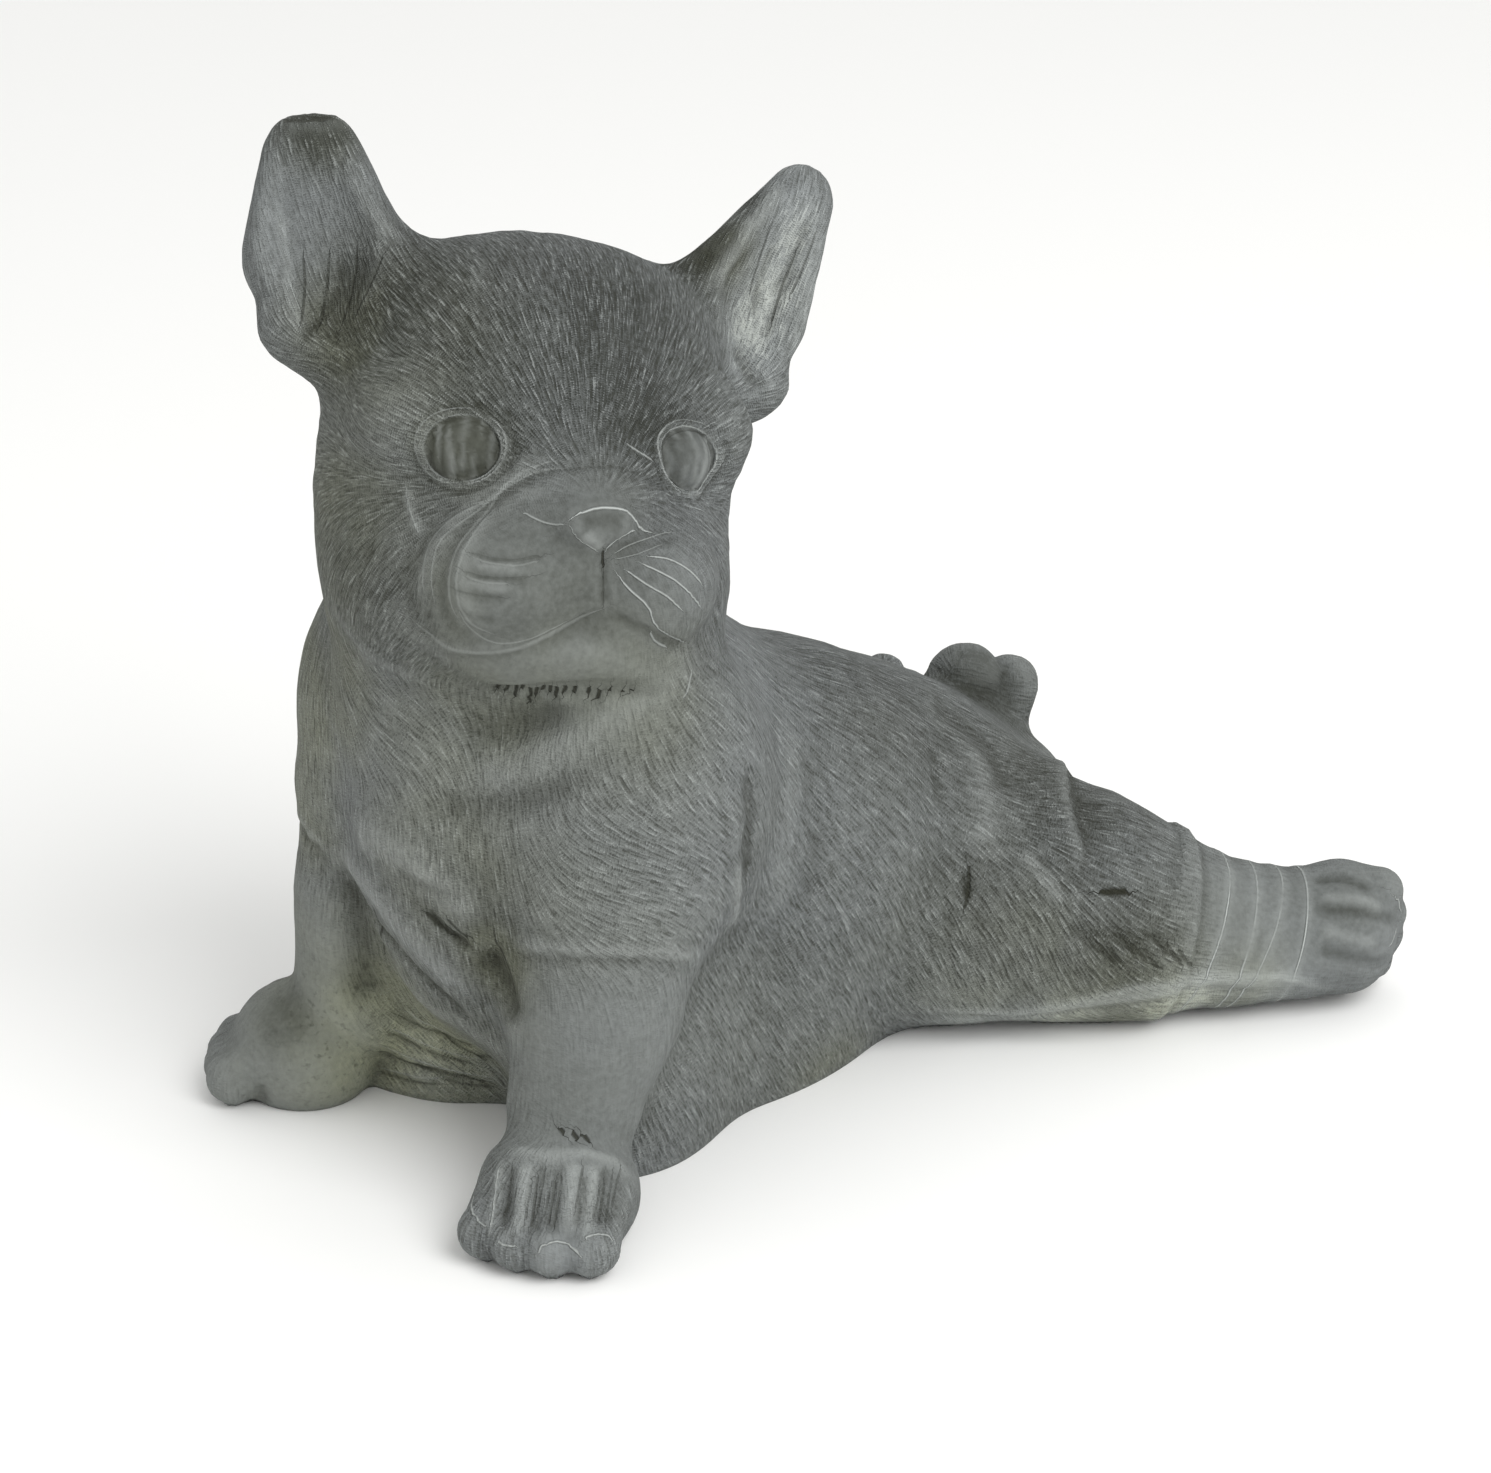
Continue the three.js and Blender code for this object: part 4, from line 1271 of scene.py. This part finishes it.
lie = attribute_of("hair_flow", "Vector")
coat_left = attribute_of("hair")
growing = attribute_of("green")
broad_share = ranged(attribute_of("on_head"), 0.0, 1.0, 0.6, 0.3)
fine_share = maths(tree, "SUBTRACT", 1.0, broad_share)
strands = plus(times(hair_of(1700.0, 0.0007), fine_share), times(hair_of(1000.0, 0.0011), broad_share))
speckle = clouds(520.0, 3.0)
patches = clouds(22.0, 4.0)
warmth = clouds(9.0, 3.0)
pits = clouds(480.0, 2.0)

scratched = None
for k in range(len(scratches)):
    layer = node(tree, "ShaderNodeSeparateXYZ")
    away, close, strength = wired(tree, layer, i0=attribute_of(f"scratches_{k}", "Vector")).outputs
    line = ranged(maths(tree, "ABSOLUTE", away), 1.0, 0.3)
    line = times(maths(tree, "MULTIPLY", line, close, clamp=True), strength)
    scratched = line if scratched is None else plus(scratched, line)

light_stone = (0.234, 0.250, 0.254, 1)
dark_stone = (0.040, 0.043, 0.038, 1)
green_tint = (1.0, 0.98, 0.66, 1)
# The dark colour serves both dirt and painted shade, the pale one below both chalky wear and painted
# light.
dirt_and_shade_colour = (0.022, 0.023, 0.015, 1)
chalk_and_light_colour = (0.44, 0.465, 0.45, 1)
# The hair strands are painted darker in their grooves and paler on their crests, with dirt and wear and
# with painted shade and light.
groomed = times(maths(tree, "SUBTRACT", strands, 0.5), coat_left)
# Painted light and shade come in here with the weathering: parts are lightened where light falls and
# darkened where shade falls.
shade = plus(attribute_of("weathering_and_painted_light"), ranged(patches, 0.3, 0.7, -0.15, 0.15))
shade = plus(shade, ranged(speckle, 0.3, 0.7, -0.2, 0.2))
shade = plus(shade, times(groomed, 0.8))
growth = times(growing, ranged(patches, 0.3, 0.6, 0.5, 1.0))
growth = maths(tree, "ADD", growth, ranged(warmth, 0.45, 0.7, 0.0, 0.2), clamp=True)
colour = mixed(ranged(shade, -1.0, 1.0), dark_stone, light_stone)
# Where the weathering value runs highest the stone turns pale, partly worn and partly painted light.
colour = mixed(ranged(shade, 1.0, 2.0), colour, chalk_and_light_colour)
colour = mixed(growth, colour, green_tint, "MULTIPLY")
colour = mixed(ranged(groomed, -0.2, -0.5, 0.0, 0.5), colour, dirt_and_shade_colour)
colour = mixed(ranged(groomed, 0.25, 0.5, 0.0, 0.25), colour, chalk_and_light_colour)
colour = mixed(times(ranged(pits, 0.58, 0.75), times(growing, 0.5)), colour, dirt_and_shade_colour)
# Painted shade and light with dirt and wear: darker in hollows, furrows and under folds, paler on crests.
dirt_wear_and_painted_light = [("deep", 0.5, dirt_and_shade_colour), ("proud", 0.22, chalk_and_light_colour), ("dark", 0.7, dirt_and_shade_colour), ("pale", 0.6, chalk_and_light_colour)]
for name, share, tone in dirt_wear_and_painted_light:
    colour = mixed(times(attribute_of(name), share), colour, tone)
# Fine lines: the dark ones partly painted shade in their cuts, the pale ones partly painted light on their
# ridges.
for share, tone in ((-0.9, dirt_and_shade_colour), (0.85, chalk_and_light_colour)):
    colour = mixed(maths(tree, "MAXIMUM", times(scratched, share)), colour, tone)
tree.links.new(colour, shader.inputs["Base Color"])
tree.links.new(ranged(speckle, 0.3, 0.7, 0.82, 0.98), shader.inputs["Roughness"])
shader.inputs["Specular IOR Level"].default_value = 0.25
height = plus(plus(times(strands, coat_left), times(speckle, 0.5)), times(scratched, 1.2))
bump = wired(tree, node(tree, "ShaderNodeBump"), Strength=1.0, Distance=0.0007, Height=height)
tree.links.new(bump.outputs[0], shader.inputs["Normal"])
mesh.materials.append(stone)
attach(puppy, "root")
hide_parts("puppy")


# The floor: a plain pale board under the puppy, painted matt and wide enough to fill the view. It
# stages the picture and is no part of the casting.
floor_size = 8
floor_mesh = bpy.data.meshes.new("floor")
half_floor = floor_size / 2
floor_mesh.from_pydata(
    [(-half_floor, -half_floor, 0), (half_floor, -half_floor, 0),
     (half_floor, half_floor, 0), (-half_floor, half_floor, 0)], [], [(0, 1, 2, 3)])
floor = bpy.data.objects.new("floor", floor_mesh)
bpy.context.scene.collection.objects.link(floor)
floor_paint = bpy.data.materials.new("pale floor")
floor_paint.use_nodes = True
floor_shader = floor_paint.node_tree.nodes["Principled BSDF"]
floor_shader.inputs["Base Color"].default_value = (0.93, 0.93, 0.92, 1)
floor_shader.inputs["Roughness"].default_value = 0.8
floor_mesh.materials.append(floor_paint)


# The studio light: an even pale sky, with one wide round lamp that stands over the camera's right
# shoulder and is aimed at the puppy.
world = bpy.data.worlds.new("studio")
world.use_nodes = True
sky = world.node_tree.nodes["Background"]
sky.inputs["Color"].default_value = (1.0, 1.0, 0.99, 1)
sky.inputs["Strength"].default_value = 0.85
bpy.context.scene.world = world
lamp_data = bpy.data.lights.new("wide lamp", "AREA")
lamp_data.shape = "DISK"
lamp_data.size = 1.6
lamp_data.energy = 30
lamp = bpy.data.objects.new("wide lamp", lamp_data)
bpy.context.scene.collection.objects.link(lamp)
lamp.location = (1.5, -0.1, 1.6)
lamp.rotation_euler = (-lamp.location).to_track_quat("-Z", "Y").to_euler()
bpy.context.scene.view_settings.view_transform = "Standard"
